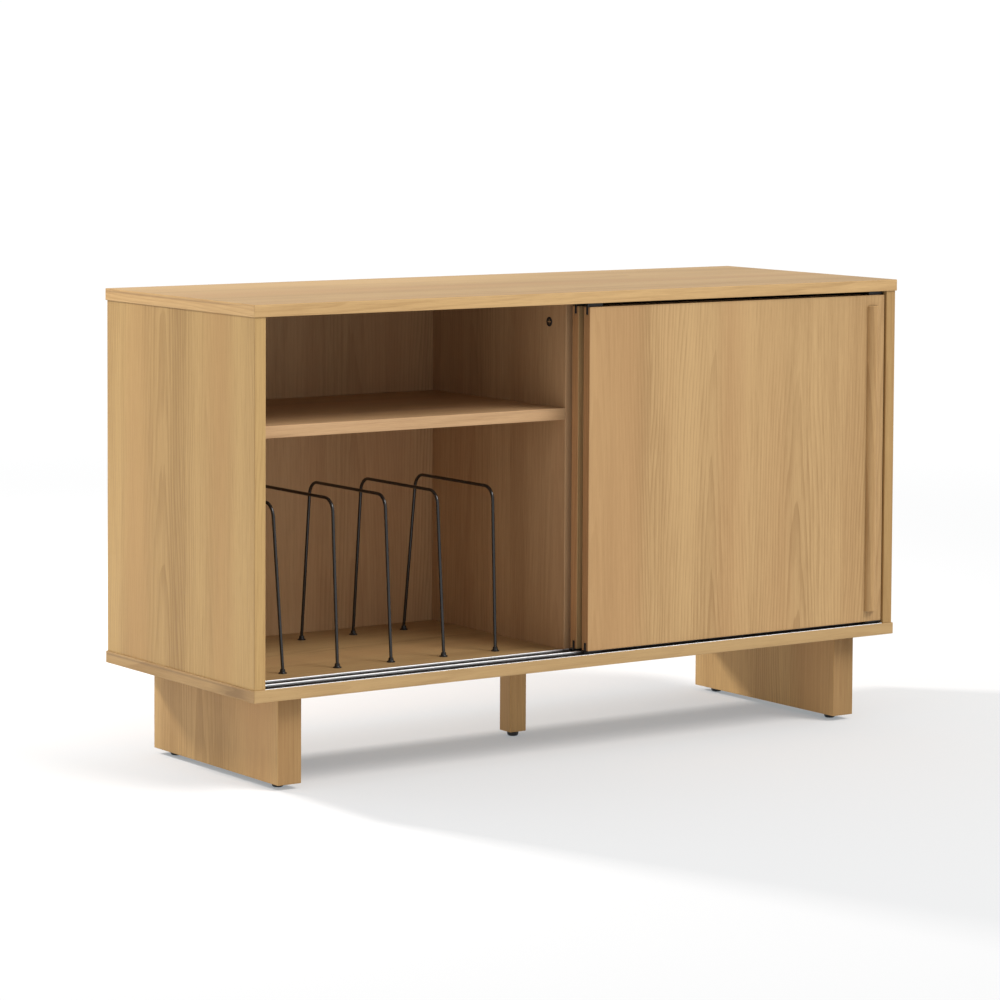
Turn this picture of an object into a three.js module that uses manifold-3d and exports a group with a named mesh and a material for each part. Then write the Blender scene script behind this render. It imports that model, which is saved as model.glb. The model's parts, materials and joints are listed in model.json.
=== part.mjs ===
// Record cabinet with two bypass sliding doors on slab legs.
// Frame: millimetres, X to the right seen from the front, Y to the back, Z up.
// The origin is on the floor under the centre of the bounding box.
import * as THREE from 'three';
import { mergeVertices } from 'three/addons/utils/BufferGeometryUtils.js';
import Module from 'manifold-3d';

const wasm = await Module();
wasm.setup();

// ---- Driving dimensions ----

// Carcass
const WIDTH = 1200; // top and bottom panels, left to right
const DEPTH = 438; // top and bottom panels, front to back
const BOARD = 18; // thickness of the carcass boards and shelves
const SIDE_HEIGHT = 536; // side panels and divider, between bottom and top panel
const REVEAL = 2; // the side panels stand this far inside the top and bottom panels' edges
const BACK_THICKNESS = 6;
const BACK_INSET = 4.5; // rear face of the back panel, in from the panels' rear edges
const GROOVE_DEPTH = 5.5; // back panel groove in the four boards round it
const BACK_TONGUE = 5; // how far the back panel reaches into that groove
const FIT_GAP = 0.3; // play between a piece and the groove or hole that holds it

// Legs and levelling feet
const LEG_HEIGHT = 130;
const LEG_THICKNESS = 40; // slab legs
const LEG_LENGTH = 362; // slab legs, front to back
const LEG_INSET = 58; // outer face of a slab leg, in from the end of the bottom panel
const LEG_SETBACK = 211; // middle of the legs, behind the bottom panel's front edge
const LEG_EASE = 0.6;
const POST_WIDTH = 30; // centre leg, square
const FOOT_HEIGHT = 8; // visible height of a levelling foot
const FOOT_RADIUS = 9;
const FOOT_SPACING = 296; // front foot to rear foot under a slab leg
const FOOT_SOLE = 2.2; // how much smaller the sole's radius is than the rim's
const STEM_RADIUS = 3;
const STEM_LENGTH = 25;
const STEM_CHAMFER = 0.8;

// Sliding doors
const DOOR_WIDTH = 584;
const DOOR_THICKNESS = 16;
const DOOR_RECESS = 5; // outer door's face behind the bottom panel's front edge
const DOOR_GAP = 13.5; // clear space between the two doors
const DOOR_FLOOR_GAP = 5;
const DOOR_TOP_GAP = 6;
const DOOR_END_GAP = 2; // clearance to the side panel when slid home
const PULL_RADIUS = 10; // half-round pull
const PULL_SETBACK = 25; // pull's centre line, in from the door's vertical edge
const PULL_END_GAP = 17; // pull's ends, in from the door's top and bottom

// Tracks
const TRACK_END_GAP = 0.5; // to the side panel at each end
const BOTTOM_REBATE = 5; // depth of the rebate that the bottom track lies in
const TRACK_WEB = 1.4;
const RIB_RISE = 2.8; // middle and rear rib above the bottom panel
const LIP_RISE = 0.4; // front rib, which is only a lip
const FRONT_RIB = [3.5, 5.5]; // rib positions, measured back from the bottom panel's front edge
const MIDDLE_RIB = [25.5, 30];
const REAR_RIB = [54.5, 57.5];
const INSERT_RISE = 1; // channel inserts above the bottom panel
const RUN_WIDTH = 6; // groove that a glide or guide runs in
const INSERT_FLOOR = 1; // material under the groove in a channel insert
const TOP_TRACK = [2, 53.5]; // front and rear face, measured back like the ribs
const TOP_TRACK_DEPTH = 10;
const TOP_RUN_DEPTH = 8;

// Glides and guides at the doors' corners
const GLIDE_LENGTH = 28;
const FIN_WIDTH = 5;
const NOTCH_DEPTH = 12; // pocket in the door's edge
const GLIDE_PLATE = 1.2;
const GLIDE_FIN_DROP = 7; // below the door
const GUIDE_RISE = 11; // above the door

// Divider and shelves
const DIVIDER_SETBACK = 63; // divider's and shelves' front edge, behind the bottom panel's
const SHELF_TOP = 528.5; // above the floor
const SHELF_SIDE_GAP = 0.5;
const SHELF_EASE = 0.8;
const PIN_LEAD = 0.8; // chamfer at a pin's end
const SHELF_BACK_GAP = 2;
const PIN_RADIUS = 2.5;
const PIN_DEPTH = 7; // in the board
const PIN_REACH = 9; // under the shelf
const PIN_SETBACK = 40; // from the shelf's front and rear edges

// Wire record dividers
const HOOP_COUNT = 5;
const WIRE_RADIUS = 2.5;
const HOOP_HEIGHT = 250;
const HOOP_BASE = 254; // front leg to rear leg at the floor of the bay
const HOOP_CROWN = 212; // the same at the top, where the corners would meet
const HOOP_BEND = 22; // centre line radius of the top corners
const HOOP_CENTRE = 237.6; // behind the bottom panel's front edge
const HOOP_LEANS = [-5, 4, 2, 1, 8]; // sprung wire never stands quite plumb: sideways, at the top
const HOOP_SPIGOT = 9; // into the bottom panel
const HOOP_STRAIGHT = 7; // upright length above the bottom panel, inside the collar
const COLLAR_HEIGHT = 6.5;
const COLLAR_RADIUS = 6.5;
const COLLAR_NECK = 3.8;
const COLLAR_RIM = 1.2; // upright rim of the collar's skirt
const COLLAR_SLOPE = 3; // height at which the skirt has drawn in by the rim's own height

// Cam locks
const CAM_RADIUS = 7.5;
const CAM_DEPTH = 12;
const CAM_EDGE = 34; // below the top panel
const CAM_SETBACK = 43.5; // from the divider's front edge

// Facets of round pieces
const ROUND = 24;
const ROUND_SMALL = 12;
const BEND_STEPS = 6;

// ---- Derived levels and planes ----

const HALF_WIDTH = WIDTH / 2;
// The outer door's pull stands proud of the panels, so the carcass sits back from the middle.
const PULL_PROUD = PULL_RADIUS - DOOR_RECESS;
const FRONT = -(DEPTH - PULL_PROUD) / 2;
const back = (distance) => FRONT + distance; // Y of a plane this far behind the front edges
const REAR = back(DEPTH);
const LEG_MIDDLE = back(LEG_SETBACK);
const BOTTOM_UNDER = FOOT_HEIGHT + LEG_HEIGHT;
const BAY_FLOOR = BOTTOM_UNDER + BOARD;
const BAY_CEILING = BAY_FLOOR + SIDE_HEIGHT;
const HEIGHT = BAY_CEILING + BOARD;
const SIDE_OUTER = HALF_WIDTH - REVEAL;
const SIDE_INNER = SIDE_OUTER - BOARD;
const BACK_REAR = REAR - BACK_INSET;
const BACK_FRONT = BACK_REAR - BACK_THICKNESS;
const DOOR_BOTTOM = BAY_FLOOR + DOOR_FLOOR_GAP;
const DOOR_TOP = BAY_CEILING - DOOR_TOP_GAP;
const OUTER_FACE = back(DOOR_RECESS);
const INNER_FACE = OUTER_FACE + DOOR_THICKNESS + DOOR_GAP;
const OUTER_RUN = OUTER_FACE + DOOR_THICKNESS / 2;
const INNER_RUN = INNER_FACE + DOOR_THICKNESS / 2;
const DOOR_RIGHT = SIDE_INNER - DOOR_END_GAP;
const DOOR_LEFT = DOOR_RIGHT - DOOR_WIDTH;
const TRACK_BASE = BAY_FLOOR - BOTTOM_REBATE;
const TRACK_FLOOR = TRACK_BASE + TRACK_WEB;
const DIVIDER_FRONT = back(DIVIDER_SETBACK);
const SHELF_UNDER = SHELF_TOP - BOARD;
const SHELF_REAR = BACK_FRONT - SHELF_BACK_GAP;

// ---- Materials ----

const FINISHES = {
  oak: { color: 0xc4a06f, roughness: 0.55, metalness: 0 },
  aluminium: { color: 0xd8dadc, roughness: 0.3, metalness: 0.9 },
  plastic: { color: 0x1b1b1a, roughness: 0.6, metalness: 0 },
  wire: { color: 0x171614, roughness: 0.35, metalness: 0.3 },
  steel: { color: 0xb9bcbf, roughness: 0.35, metalness: 0.9 },
};

const cabinet = new THREE.Group();

// Adds one sub-part; every sub-part has a material of its own.
function part(name, finish, geometry) {
  const mesh = new THREE.Mesh(geometry, new THREE.MeshStandardMaterial(FINISHES[finish]));
  mesh.name = name;
  cabinet.add(mesh);
  return mesh;
}

// ---- Geometry helpers ----

// A box from its lowest to its highest corner.
function block(low, high) {
  const size = high.map((value, i) => value - low[i]);
  const geometry = new THREE.BoxGeometry(...size);
  geometry.translate(...low.map((value, i) => value + size[i] / 2));
  return geometry;
}

// A board with the four edges along one axis eased by a small chamfer.
// `axis` is the direction that the outline is extruded along.
function easedBlock(low, high, axis, ease) {
  const [u, v] = [[1, 2], [2, 0], [0, 1]][axis];
  const outline = [
    [low[u] + ease, low[v]],
    [high[u] - ease, low[v]],
    [high[u], low[v] + ease],
    [high[u], high[v] - ease],
    [high[u] - ease, high[v]],
    [low[u] + ease, high[v]],
    [low[u], high[v] - ease],
    [low[u], low[v] + ease],
  ];
  return prism(outline, axis, low[axis], high[axis]);
}

// An outline carried straight along an axis: [y, z] along X, [z, x] along Y or [x, y] along Z.
function prism(outline, axis, from, to) {
  const shape = new THREE.Shape(outline.map(([a, b]) => new THREE.Vector2(a, b)));
  const geometry = new THREE.ExtrudeGeometry(shape, { depth: to - from, bevelEnabled: false });
  geometry.translate(0, 0, from);
  const turns = [
    new THREE.Matrix4().set(0, 0, 1, 0, 1, 0, 0, 0, 0, 1, 0, 0, 0, 0, 0, 1),
    new THREE.Matrix4().set(0, 1, 0, 0, 0, 0, 1, 0, 1, 0, 0, 0, 0, 0, 0, 1),
    new THREE.Matrix4(),
  ];
  return geometry.applyMatrix4(turns[axis]);
}

// A profile of [radius, height] points turned about an upright axis through (x, y).
function turned(profile, x, y, z, segments = ROUND) {
  const points = profile.map(([radius, height]) => new THREE.Vector2(radius, height));
  const geometry = new THREE.LatheGeometry(points, segments);
  geometry.rotateX(Math.PI / 2);
  return geometry.translate(x, y, z);
}

// The same, about an axis along X: heights run away from x, towards `side`.
function turnedAcross(profile, x, y, z, side, segments = ROUND_SMALL) {
  const points = profile.map(([radius, height]) => new THREE.Vector2(radius, height));
  const geometry = new THREE.LatheGeometry(points, segments);
  geometry.rotateZ(side > 0 ? -Math.PI / 2 : Math.PI / 2);
  return geometry.translate(x, y, z);
}

function solid(geometry) {
  const bare = geometry.clone();
  bare.deleteAttribute('normal');
  bare.deleteAttribute('uv');
  const merged = mergeVertices(bare);
  return new wasm.Manifold(new wasm.Mesh({
    numProp: 3,
    vertProperties: new Float32Array(merged.attributes.position.array),
    triVerts: new Uint32Array(merged.index.array),
  }));
}

// The body with all the cutters taken out.
function cut(body, cutters) {
  const result = cutters.reduce((left, cutter) => left.subtract(solid(cutter)), solid(body));
  const mesh = result.getMesh();
  const geometry = new THREE.BufferGeometry();
  geometry.setAttribute('position', new THREE.BufferAttribute(mesh.vertProperties, 3));
  geometry.setIndex(new THREE.BufferAttribute(mesh.triVerts, 1));
  geometry.computeVertexNormals();
  return geometry;
}

// The profile of a round hole that a piece of this radius and depth lies in with play.
function hole(radius, depth) {
  const [wide, deep, clear] = [radius + FIT_GAP, depth + FIT_GAP, 1];
  return [[0, -deep], [wide, -deep], [wide, clear], [0, clear]];
}

// ---- Carcass ----

// The back panel's edge with play round it, used to cut its groove in each board.
function backGroove() {
  const reach = SIDE_INNER + GROOVE_DEPTH;
  return block(
    [-reach, BACK_FRONT - FIT_GAP, BAY_FLOOR - GROOVE_DEPTH],
    [reach, BACK_REAR + FIT_GAP, BAY_CEILING + GROOVE_DEPTH],
  );
}

// Front-to-back places of the hoops' two legs.
const hoopLegs = [-1, 1].map((end) => back(HOOP_CENTRE) + end * HOOP_BASE / 2);

// The left bay is shared out equally between the hoops.
const bayWidth = SIDE_INNER - BOARD / 2;
const hoopPlaces = Array.from(
  { length: HOOP_COUNT },
  (_, i) => -SIDE_INNER + (bayWidth * (i + 1)) / (HOOP_COUNT + 1),
);

function makePanels() {
  const topRebate = block(
    [-SIDE_INNER, back(TOP_TRACK[0]) - FIT_GAP, BAY_CEILING - 1],
    [SIDE_INNER, back(TOP_TRACK[1]) + FIT_GAP, BAY_CEILING + TOP_TRACK_DEPTH + FIT_GAP],
  );
  part('top_panel', 'oak', cut(
    block([-HALF_WIDTH, FRONT, BAY_CEILING], [HALF_WIDTH, REAR, HEIGHT]),
    [topRebate, backGroove()],
  ));

  const bottomRebate = block(
    [-SIDE_INNER, back(FRONT_RIB[0]) - FIT_GAP, TRACK_BASE],
    [SIDE_INNER, back(REAR_RIB[1]) + FIT_GAP, BAY_FLOOR + 1],
  );
  const spigotHoles = hoopPlaces.flatMap((x) => hoopLegs.map((y) => turned(
    hole(WIRE_RADIUS, HOOP_SPIGOT), x, y, BAY_FLOOR, ROUND_SMALL,
  )));
  part('bottom_panel', 'oak', cut(
    block([-HALF_WIDTH, FRONT, BOTTOM_UNDER], [HALF_WIDTH, REAR, BAY_FLOOR]),
    [bottomRebate, backGroove(), ...spigotHoles],
  ));

  part('back_panel', 'oak', block(
    [-SIDE_INNER - BACK_TONGUE, BACK_FRONT, BAY_FLOOR - BACK_TONGUE],
    [SIDE_INNER + BACK_TONGUE, BACK_REAR, BAY_CEILING + BACK_TONGUE],
  ));
}

// Shelf pins: a round peg in the board, the shelf lying on the part that reaches out.
const pinRows = [DIVIDER_FRONT + PIN_SETBACK, SHELF_REAR - PIN_SETBACK];
const pinHeight = SHELF_UNDER - PIN_RADIUS;

function pinHoles(x, side) {
  return pinRows.map((y) => turnedAcross(hole(PIN_RADIUS, PIN_DEPTH), x, y, pinHeight, side));
}

// Cam locks: a drilled pocket in the board's inner face, filled by the black lock.
const camHeight = BAY_CEILING - CAM_EDGE;
const camFront = DIVIDER_FRONT + CAM_SETBACK;
const camRear = BACK_FRONT - CAM_SETBACK;

function camPocket(x, y, side) {
  return turnedAcross(hole(CAM_RADIUS, CAM_DEPTH), x, y, camHeight, side, ROUND);
}

function makeUprights() {
  for (const [name, side] of [['left_side_panel', -1], ['right_side_panel', 1]]) {
    const [low, high] = [side * SIDE_INNER, side * SIDE_OUTER].sort((a, b) => a - b);
    part(name, 'oak', cut(
      block([low, back(REVEAL), BAY_FLOOR], [high, REAR - REVEAL, BAY_CEILING]),
      [
        backGroove(),
        ...pinHoles(side * SIDE_INNER, -side),
        camPocket(side * SIDE_INNER, camFront, -side),
        camPocket(side * SIDE_INNER, camRear, -side),
      ],
    ));
  }
  const half = BOARD / 2;
  part('centre_divider', 'oak', cut(
    block([-half, DIVIDER_FRONT, BAY_FLOOR], [half, BACK_FRONT, BAY_CEILING]),
    [...pinHoles(-half, -1), ...pinHoles(half, 1), camPocket(-half, camFront, -1)],
  ));
}

// The lock's slightly domed face has a crossed driver recess.
function makeCamLock(name, x, y, side) {
  const [rim, bevel] = [0.2, 0.4];
  const body = turnedAcross([
    [0, -CAM_DEPTH], [CAM_RADIUS, -CAM_DEPTH], [CAM_RADIUS, rim],
    [CAM_RADIUS - bevel, rim + bevel], [0, rim + bevel],
  ], x, y, camHeight, side, ROUND);
  const [arm, half, deep] = [4.5, 1, 1.5];
  const slots = [[arm, half], [half, arm]].map(([reach, rise]) => block(
    [x - deep, y - reach, camHeight - rise],
    [x + deep, y + reach, camHeight + rise],
  ));
  part(name, 'plastic', cut(body, slots));
}

function makeCamLocks() {
  makeCamLock('divider_cam_lock', -BOARD / 2, camFront, -1);
  for (const [name, side] of [['left', -1], ['right', 1]]) {
    makeCamLock(`${name}_side_cam_lock_front`, side * SIDE_INNER, camFront, -side);
    makeCamLock(`${name}_side_cam_lock_rear`, side * SIDE_INNER, camRear, -side);
  }
}

// ---- Shelves ----

function makeShelves() {
  const inner = BOARD / 2 + SHELF_SIDE_GAP;
  const outer = SIDE_INNER - SHELF_SIDE_GAP;
  for (const [name, low, high] of [['left_shelf', -outer, -inner], ['right_shelf', inner, outer]]) {
    part(name, 'oak', easedBlock(
      [low, DIVIDER_FRONT, SHELF_UNDER],
      [high, SHELF_REAR, SHELF_TOP],
      0,
      SHELF_EASE,
    ));
  }
  const pin = [
    [0, -PIN_DEPTH], [PIN_RADIUS, -PIN_DEPTH], [PIN_RADIUS, PIN_REACH - PIN_LEAD],
    [PIN_RADIUS - PIN_LEAD, PIN_REACH], [0, PIN_REACH],
  ];
  const faces = [
    ['left_shelf_pin_outer', -SIDE_INNER, 1],
    ['left_shelf_pin_inner', -BOARD / 2, -1],
    ['right_shelf_pin_inner', BOARD / 2, 1],
    ['right_shelf_pin_outer', SIDE_INNER, -1],
  ];
  for (const [name, x, side] of faces) {
    part(`${name}_front`, 'steel', turnedAcross(pin, x, pinRows[0], pinHeight, side));
    part(`${name}_rear`, 'steel', turnedAcross(pin, x, pinRows[1], pinHeight, side));
  }
}

// ---- Tracks ----

function makeTracks() {
  const end = SIDE_INNER - TRACK_END_GAP;
  const ribTop = BAY_FLOOR + RIB_RISE;
  const lipTop = BAY_FLOOR + LIP_RISE;
  const [front, middle, rear] = [FRONT_RIB, MIDDLE_RIB, REAR_RIB].map((rib) => rib.map(back));
  // An E lying on its back: a web with three upright ribs.
  part('bottom_track', 'aluminium', prism([
    [front[0], TRACK_BASE], [rear[1], TRACK_BASE], [rear[1], ribTop], [rear[0], ribTop],
    [rear[0], TRACK_FLOOR], [middle[1], TRACK_FLOOR], [middle[1], ribTop], [middle[0], ribTop],
    [middle[0], TRACK_FLOOR], [front[1], TRACK_FLOOR], [front[1], lipTop], [front[0], lipTop],
  ], 0, -end, end));

  const insertTop = BAY_FLOOR + INSERT_RISE;
  const runFloor = TRACK_FLOOR + INSERT_FLOOR;
  const channels = [
    ['outer_channel_insert', front[1] + FIT_GAP, middle[0] - FIT_GAP, OUTER_RUN],
    ['inner_channel_insert', middle[1] + FIT_GAP, rear[0] - FIT_GAP, INNER_RUN],
  ];
  for (const [name, low, high, run] of channels) {
    const [runLow, runHigh] = [run - RUN_WIDTH / 2, run + RUN_WIDTH / 2];
    part(name, 'plastic', prism([
      [low, TRACK_FLOOR], [high, TRACK_FLOOR], [high, insertTop], [runHigh, insertTop],
      [runHigh, runFloor], [runLow, runFloor], [runLow, insertTop], [low, insertTop],
    ], 0, -end, end));
  }

  // The top track lies flush in the top panel, with one groove over each door.
  const [trackFront, trackRear] = TOP_TRACK.map(back);
  const trackTop = BAY_CEILING + TOP_TRACK_DEPTH;
  const runTop = BAY_CEILING + TOP_RUN_DEPTH;
  const grooves = [INNER_RUN, OUTER_RUN].flatMap((run) => [
    [run + RUN_WIDTH / 2, BAY_CEILING], [run + RUN_WIDTH / 2, runTop],
    [run - RUN_WIDTH / 2, runTop], [run - RUN_WIDTH / 2, BAY_CEILING],
  ]);
  part('top_track', 'plastic', prism([
    [trackFront, BAY_CEILING], [trackFront, trackTop], [trackRear, trackTop],
    [trackRear, BAY_CEILING], ...grooves,
  ].reverse(), 0, -end, end));
}

// ---- Sliding doors ----

// Glide under a door's corner: a plate under the edge, a tongue let into it and a fin in the track.
function glideOutline(run) {
  const [fin, plate] = [FIN_WIDTH / 2, DOOR_THICKNESS / 2];
  const [top, under] = [DOOR_BOTTOM + NOTCH_DEPTH - FIT_GAP, DOOR_BOTTOM - GLIDE_PLATE];
  const tip = DOOR_BOTTOM - GLIDE_FIN_DROP;
  return [
    [run - fin, top], [run - fin, DOOR_BOTTOM], [run - plate, DOOR_BOTTOM], [run - plate, under],
    [run - fin, under], [run - fin, tip], [run + fin, tip], [run + fin, under],
    [run + plate, under], [run + plate, DOOR_BOTTOM], [run + fin, DOOR_BOTTOM], [run + fin, top],
  ];
}

// Guide in a door's upper corner: a tongue whose chamfered tip runs in the top track.
function guideOutline(run) {
  const fin = FIN_WIDTH / 2;
  const [low, tip] = [DOOR_TOP - NOTCH_DEPTH + FIT_GAP, DOOR_TOP + GUIDE_RISE];
  const lead = 1;
  return [
    [run - fin, low], [run + fin, low], [run + fin, tip - lead], [run + fin - lead, tip],
    [run - fin + lead, tip], [run - fin, tip - lead],
  ];
}

// A half-round bar, flat against the door's face and bulging towards the front.
function pullOutline(x, face) {
  return Array.from({ length: ROUND_SMALL + 1 }, (_, i) => {
    const angle = (Math.PI * i) / ROUND_SMALL;
    return [x - PULL_RADIUS * Math.cos(angle), face - PULL_RADIUS * Math.sin(angle)];
  });
}

function makeDoor(name, face, pullX) {
  const run = face + DOOR_THICKNESS / 2;
  const notch = FIN_WIDTH / 2 + FIT_GAP;
  const ends = [['left', DOOR_LEFT, 1], ['right', DOOR_RIGHT, -1]];
  const notches = ends.flatMap(([, edge, inward]) => {
    const [low, high] = [edge - inward, edge + inward * (GLIDE_LENGTH + FIT_GAP)].sort((a, b) => a - b);
    return [
      block([low, run - notch, DOOR_BOTTOM - 1], [high, run + notch, DOOR_BOTTOM + NOTCH_DEPTH]),
      block([low, run - notch, DOOR_TOP - NOTCH_DEPTH], [high, run + notch, DOOR_TOP + 1]),
    ];
  });
  part(name, 'oak', cut(
    block([DOOR_LEFT, face, DOOR_BOTTOM], [DOOR_RIGHT, face + DOOR_THICKNESS, DOOR_TOP]),
    notches,
  ));
  part(`${name}_pull`, 'oak', prism(
    pullOutline(pullX, face),
    2,
    DOOR_BOTTOM + PULL_END_GAP,
    DOOR_TOP - PULL_END_GAP,
  ));
  for (const [end, edge, inward] of ends) {
    const [low, high] = [edge, edge + inward * GLIDE_LENGTH].sort((a, b) => a - b);
    part(`${name}_glide_${end}`, 'plastic', prism(glideOutline(run), 0, low, high));
    part(`${name}_guide_${end}`, 'plastic', prism(guideOutline(run), 0, low, high));
  }
}

// ---- Wire record dividers ----

// A chain of points carried at equal steps, so straight runs take one step each.
class Chain extends THREE.Curve {
  constructor(points) {
    super();
    this.points = points;
  }

  getPoint(t, target = new THREE.Vector3()) {
    const place = t * (this.points.length - 1);
    const index = Math.min(Math.floor(place), this.points.length - 2);
    return target.lerpVectors(this.points[index], this.points[index + 1], place - index);
  }

  getUtoTmapping(u) {
    return u;
  }
}

// The rounded corner at `corner` between the directions towards `before` and `after`.
function bend(before, corner, after, radius) {
  const inward = before.clone().sub(corner).normalize();
  const onward = after.clone().sub(corner).normalize();
  const half = inward.angleTo(onward) / 2;
  const centre = corner.clone().addScaledVector(
    inward.clone().add(onward).normalize(),
    radius / Math.sin(half),
  );
  const start = corner.clone().addScaledVector(inward, radius / Math.tan(half)).sub(centre);
  const end = corner.clone().addScaledVector(onward, radius / Math.tan(half)).sub(centre);
  const sweep = start.angleTo(end);
  return Array.from({ length: BEND_STEPS + 1 }, (_, i) => {
    const angle = (sweep * i) / BEND_STEPS;
    return start.clone().multiplyScalar(Math.sin(sweep - angle) / Math.sin(sweep))
      .addScaledVector(end, Math.sin(angle) / Math.sin(sweep))
      .add(centre);
  });
}

// Centre line of a hoop: up from the front spigot, over the top and down into the rear one.
function hoopPath(x, lean) {
  const [frontLeg, rearLeg] = hoopLegs;
  const crown = BAY_FLOOR + HOOP_HEIGHT;
  const tuck = (HOOP_BASE - HOOP_CROWN) / 2;
  const foot = (y, z) => new THREE.Vector3(x, y, z);
  const frontCorner = new THREE.Vector3(x + lean, frontLeg + tuck, crown);
  const rearCorner = new THREE.Vector3(x + lean, rearLeg - tuck, crown);
  const [low, high] = [BAY_FLOOR - HOOP_SPIGOT, BAY_FLOOR + HOOP_STRAIGHT];
  return [
    foot(frontLeg, low),
    foot(frontLeg, high),
    ...bend(foot(frontLeg, high), frontCorner, rearCorner, HOOP_BEND),
    ...bend(frontCorner, rearCorner, foot(rearLeg, high), HOOP_BEND),
    foot(rearLeg, high),
    foot(rearLeg, low),
  ];
}

function makeHoops() {
  const circle = new THREE.Shape();
  circle.absarc(0, 0, WIRE_RADIUS, 0, Math.PI * 2);
  const bore = WIRE_RADIUS + FIT_GAP;
  const collar = [
    [bore, 0], [COLLAR_RADIUS, 0], [COLLAR_RADIUS, COLLAR_RIM],
    [COLLAR_RADIUS - COLLAR_RIM, COLLAR_SLOPE],
    [COLLAR_NECK, COLLAR_HEIGHT], [bore, COLLAR_HEIGHT], [bore, 0],
  ];
  hoopPlaces.forEach((x, i) => {
    const path = new Chain(hoopPath(x, HOOP_LEANS[i]));
    part(`record_divider_${i + 1}`, 'wire', new THREE.ExtrudeGeometry(circle, {
      steps: path.points.length - 1,
      curveSegments: ROUND_SMALL / 2,
      extrudePath: path,
    }));
    ['front', 'rear'].forEach((end, j) => {
      part(`record_divider_collar_${i + 1}_${end}`, 'plastic',
        turned(collar, x, hoopLegs[j], BAY_FLOOR, ROUND));
    });
  });
}

// ---- Legs and levelling feet ----

// Stem and pad of one levelling foot, from the floor up.
const stemTop = FOOT_HEIGHT + STEM_LENGTH;
const padTop = FOOT_HEIGHT - FIT_GAP;
const footProfile = [
  [0, 0], [FOOT_RADIUS - FOOT_SOLE, 0], [FOOT_RADIUS - 0.8, 1.4], [FOOT_RADIUS, 4], [FOOT_RADIUS, 6],
  [FOOT_RADIUS - 1.6, padTop], [STEM_RADIUS, padTop],
  [STEM_RADIUS, stemTop - STEM_CHAMFER], [STEM_RADIUS - STEM_CHAMFER, stemTop], [0, stemTop],
];

function makeLeg(name, x, width, length, feet) {
  const half = width / 2;
  const bore = STEM_RADIUS + FIT_GAP;
  const stemHoles = feet.map(([, y]) => turned(
    [[0, padTop], [bore, padTop], [bore, stemTop + 1], [0, stemTop + 1]],
    x, y, 0, ROUND_SMALL,
  ));
  part(name, 'oak', cut(
    easedBlock(
      [x - half, LEG_MIDDLE - length / 2, FOOT_HEIGHT],
      [x + half, LEG_MIDDLE + length / 2, BOTTOM_UNDER],
      2,
      LEG_EASE,
    ),
    stemHoles,
  ));
  for (const [footName, y] of feet) {
    part(footName, 'plastic', turned(footProfile, x, y, 0));
  }
}

function makeLegs() {
  const legCentre = HALF_WIDTH - LEG_INSET - LEG_THICKNESS / 2;
  for (const [side, x] of [['left', -legCentre], ['right', legCentre]]) {
    makeLeg(`${side}_leg`, x, LEG_THICKNESS, LEG_LENGTH, [
      [`${side}_front_foot`, LEG_MIDDLE - FOOT_SPACING / 2],
      [`${side}_rear_foot`, LEG_MIDDLE + FOOT_SPACING / 2],
    ]);
  }
  makeLeg('centre_leg', 0, POST_WIDTH, POST_WIDTH, [['centre_foot', LEG_MIDDLE]]);
}

makePanels();
makeUprights();
makeCamLocks();
makeShelves();
makeTracks();
makeDoor('outer_door', OUTER_FACE, DOOR_RIGHT - PULL_SETBACK);
makeDoor('inner_door', INNER_FACE, DOOR_LEFT + PULL_SETBACK);
makeHoops();
makeLegs();

export default cabinet;
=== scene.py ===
import json
import math

import bmesh
import bpy
import numpy as np
from bpy.props import FloatProperty, FloatVectorProperty, IntProperty, PointerProperty
from mathutils import Matrix, Vector


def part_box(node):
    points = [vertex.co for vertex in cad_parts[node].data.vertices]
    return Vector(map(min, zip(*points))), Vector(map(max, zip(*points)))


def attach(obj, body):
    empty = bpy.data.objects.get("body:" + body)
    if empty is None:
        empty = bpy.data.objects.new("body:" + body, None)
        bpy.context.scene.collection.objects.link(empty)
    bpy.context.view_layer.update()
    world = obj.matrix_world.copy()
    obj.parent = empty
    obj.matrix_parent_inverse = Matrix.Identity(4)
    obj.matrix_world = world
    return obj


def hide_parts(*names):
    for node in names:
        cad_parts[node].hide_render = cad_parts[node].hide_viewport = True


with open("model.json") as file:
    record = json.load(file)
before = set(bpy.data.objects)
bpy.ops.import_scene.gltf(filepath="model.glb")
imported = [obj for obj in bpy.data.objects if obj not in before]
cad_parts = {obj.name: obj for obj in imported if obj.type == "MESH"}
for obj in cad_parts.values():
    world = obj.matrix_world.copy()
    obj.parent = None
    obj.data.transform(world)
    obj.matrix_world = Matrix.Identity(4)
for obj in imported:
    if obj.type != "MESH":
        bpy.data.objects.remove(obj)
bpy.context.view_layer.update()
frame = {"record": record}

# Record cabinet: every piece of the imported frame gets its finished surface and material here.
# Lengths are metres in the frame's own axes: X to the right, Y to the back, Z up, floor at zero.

bl_info = {
    "name": "Record Cabinet",
    "version": (1, 0, 0),
    "blender": (4, 5, 0),
    "location": "3D View > Sidebar > Cabinet",
    "description": "Makes a record cabinet with sliding doors, wire dividers and slab legs",
    "category": "Add Mesh",
}

MM = 0.001
X, Y, Z = 0, 1, 2
SHARP = math.radians(34)  # edges that turn by more than this are drawn sharp
PLAY = 0.3 * MM  # gap round a piece that is let into another
RING_WIDTH = 6 * MM  # between one year ring of the oak and the next

RECORD = frame["record"]
BODY_OF = {node: body for body, nodes in RECORD["behaviour"]["bodies"].items() for node in nodes}
SLOT_OF = {part["node"]: part["material_slot"] for part in RECORD["subparts"]}


def span(node):
    """Lowest and highest corner of a frame node, as arrays."""
    low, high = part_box(node)
    return np.array(low), np.array(high)


def nodes_named(start):
    """The frame's nodes whose names begin like this, in order."""
    return sorted(node for node in BODY_OF if node.startswith(start))


# ---- Settings ----


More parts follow.
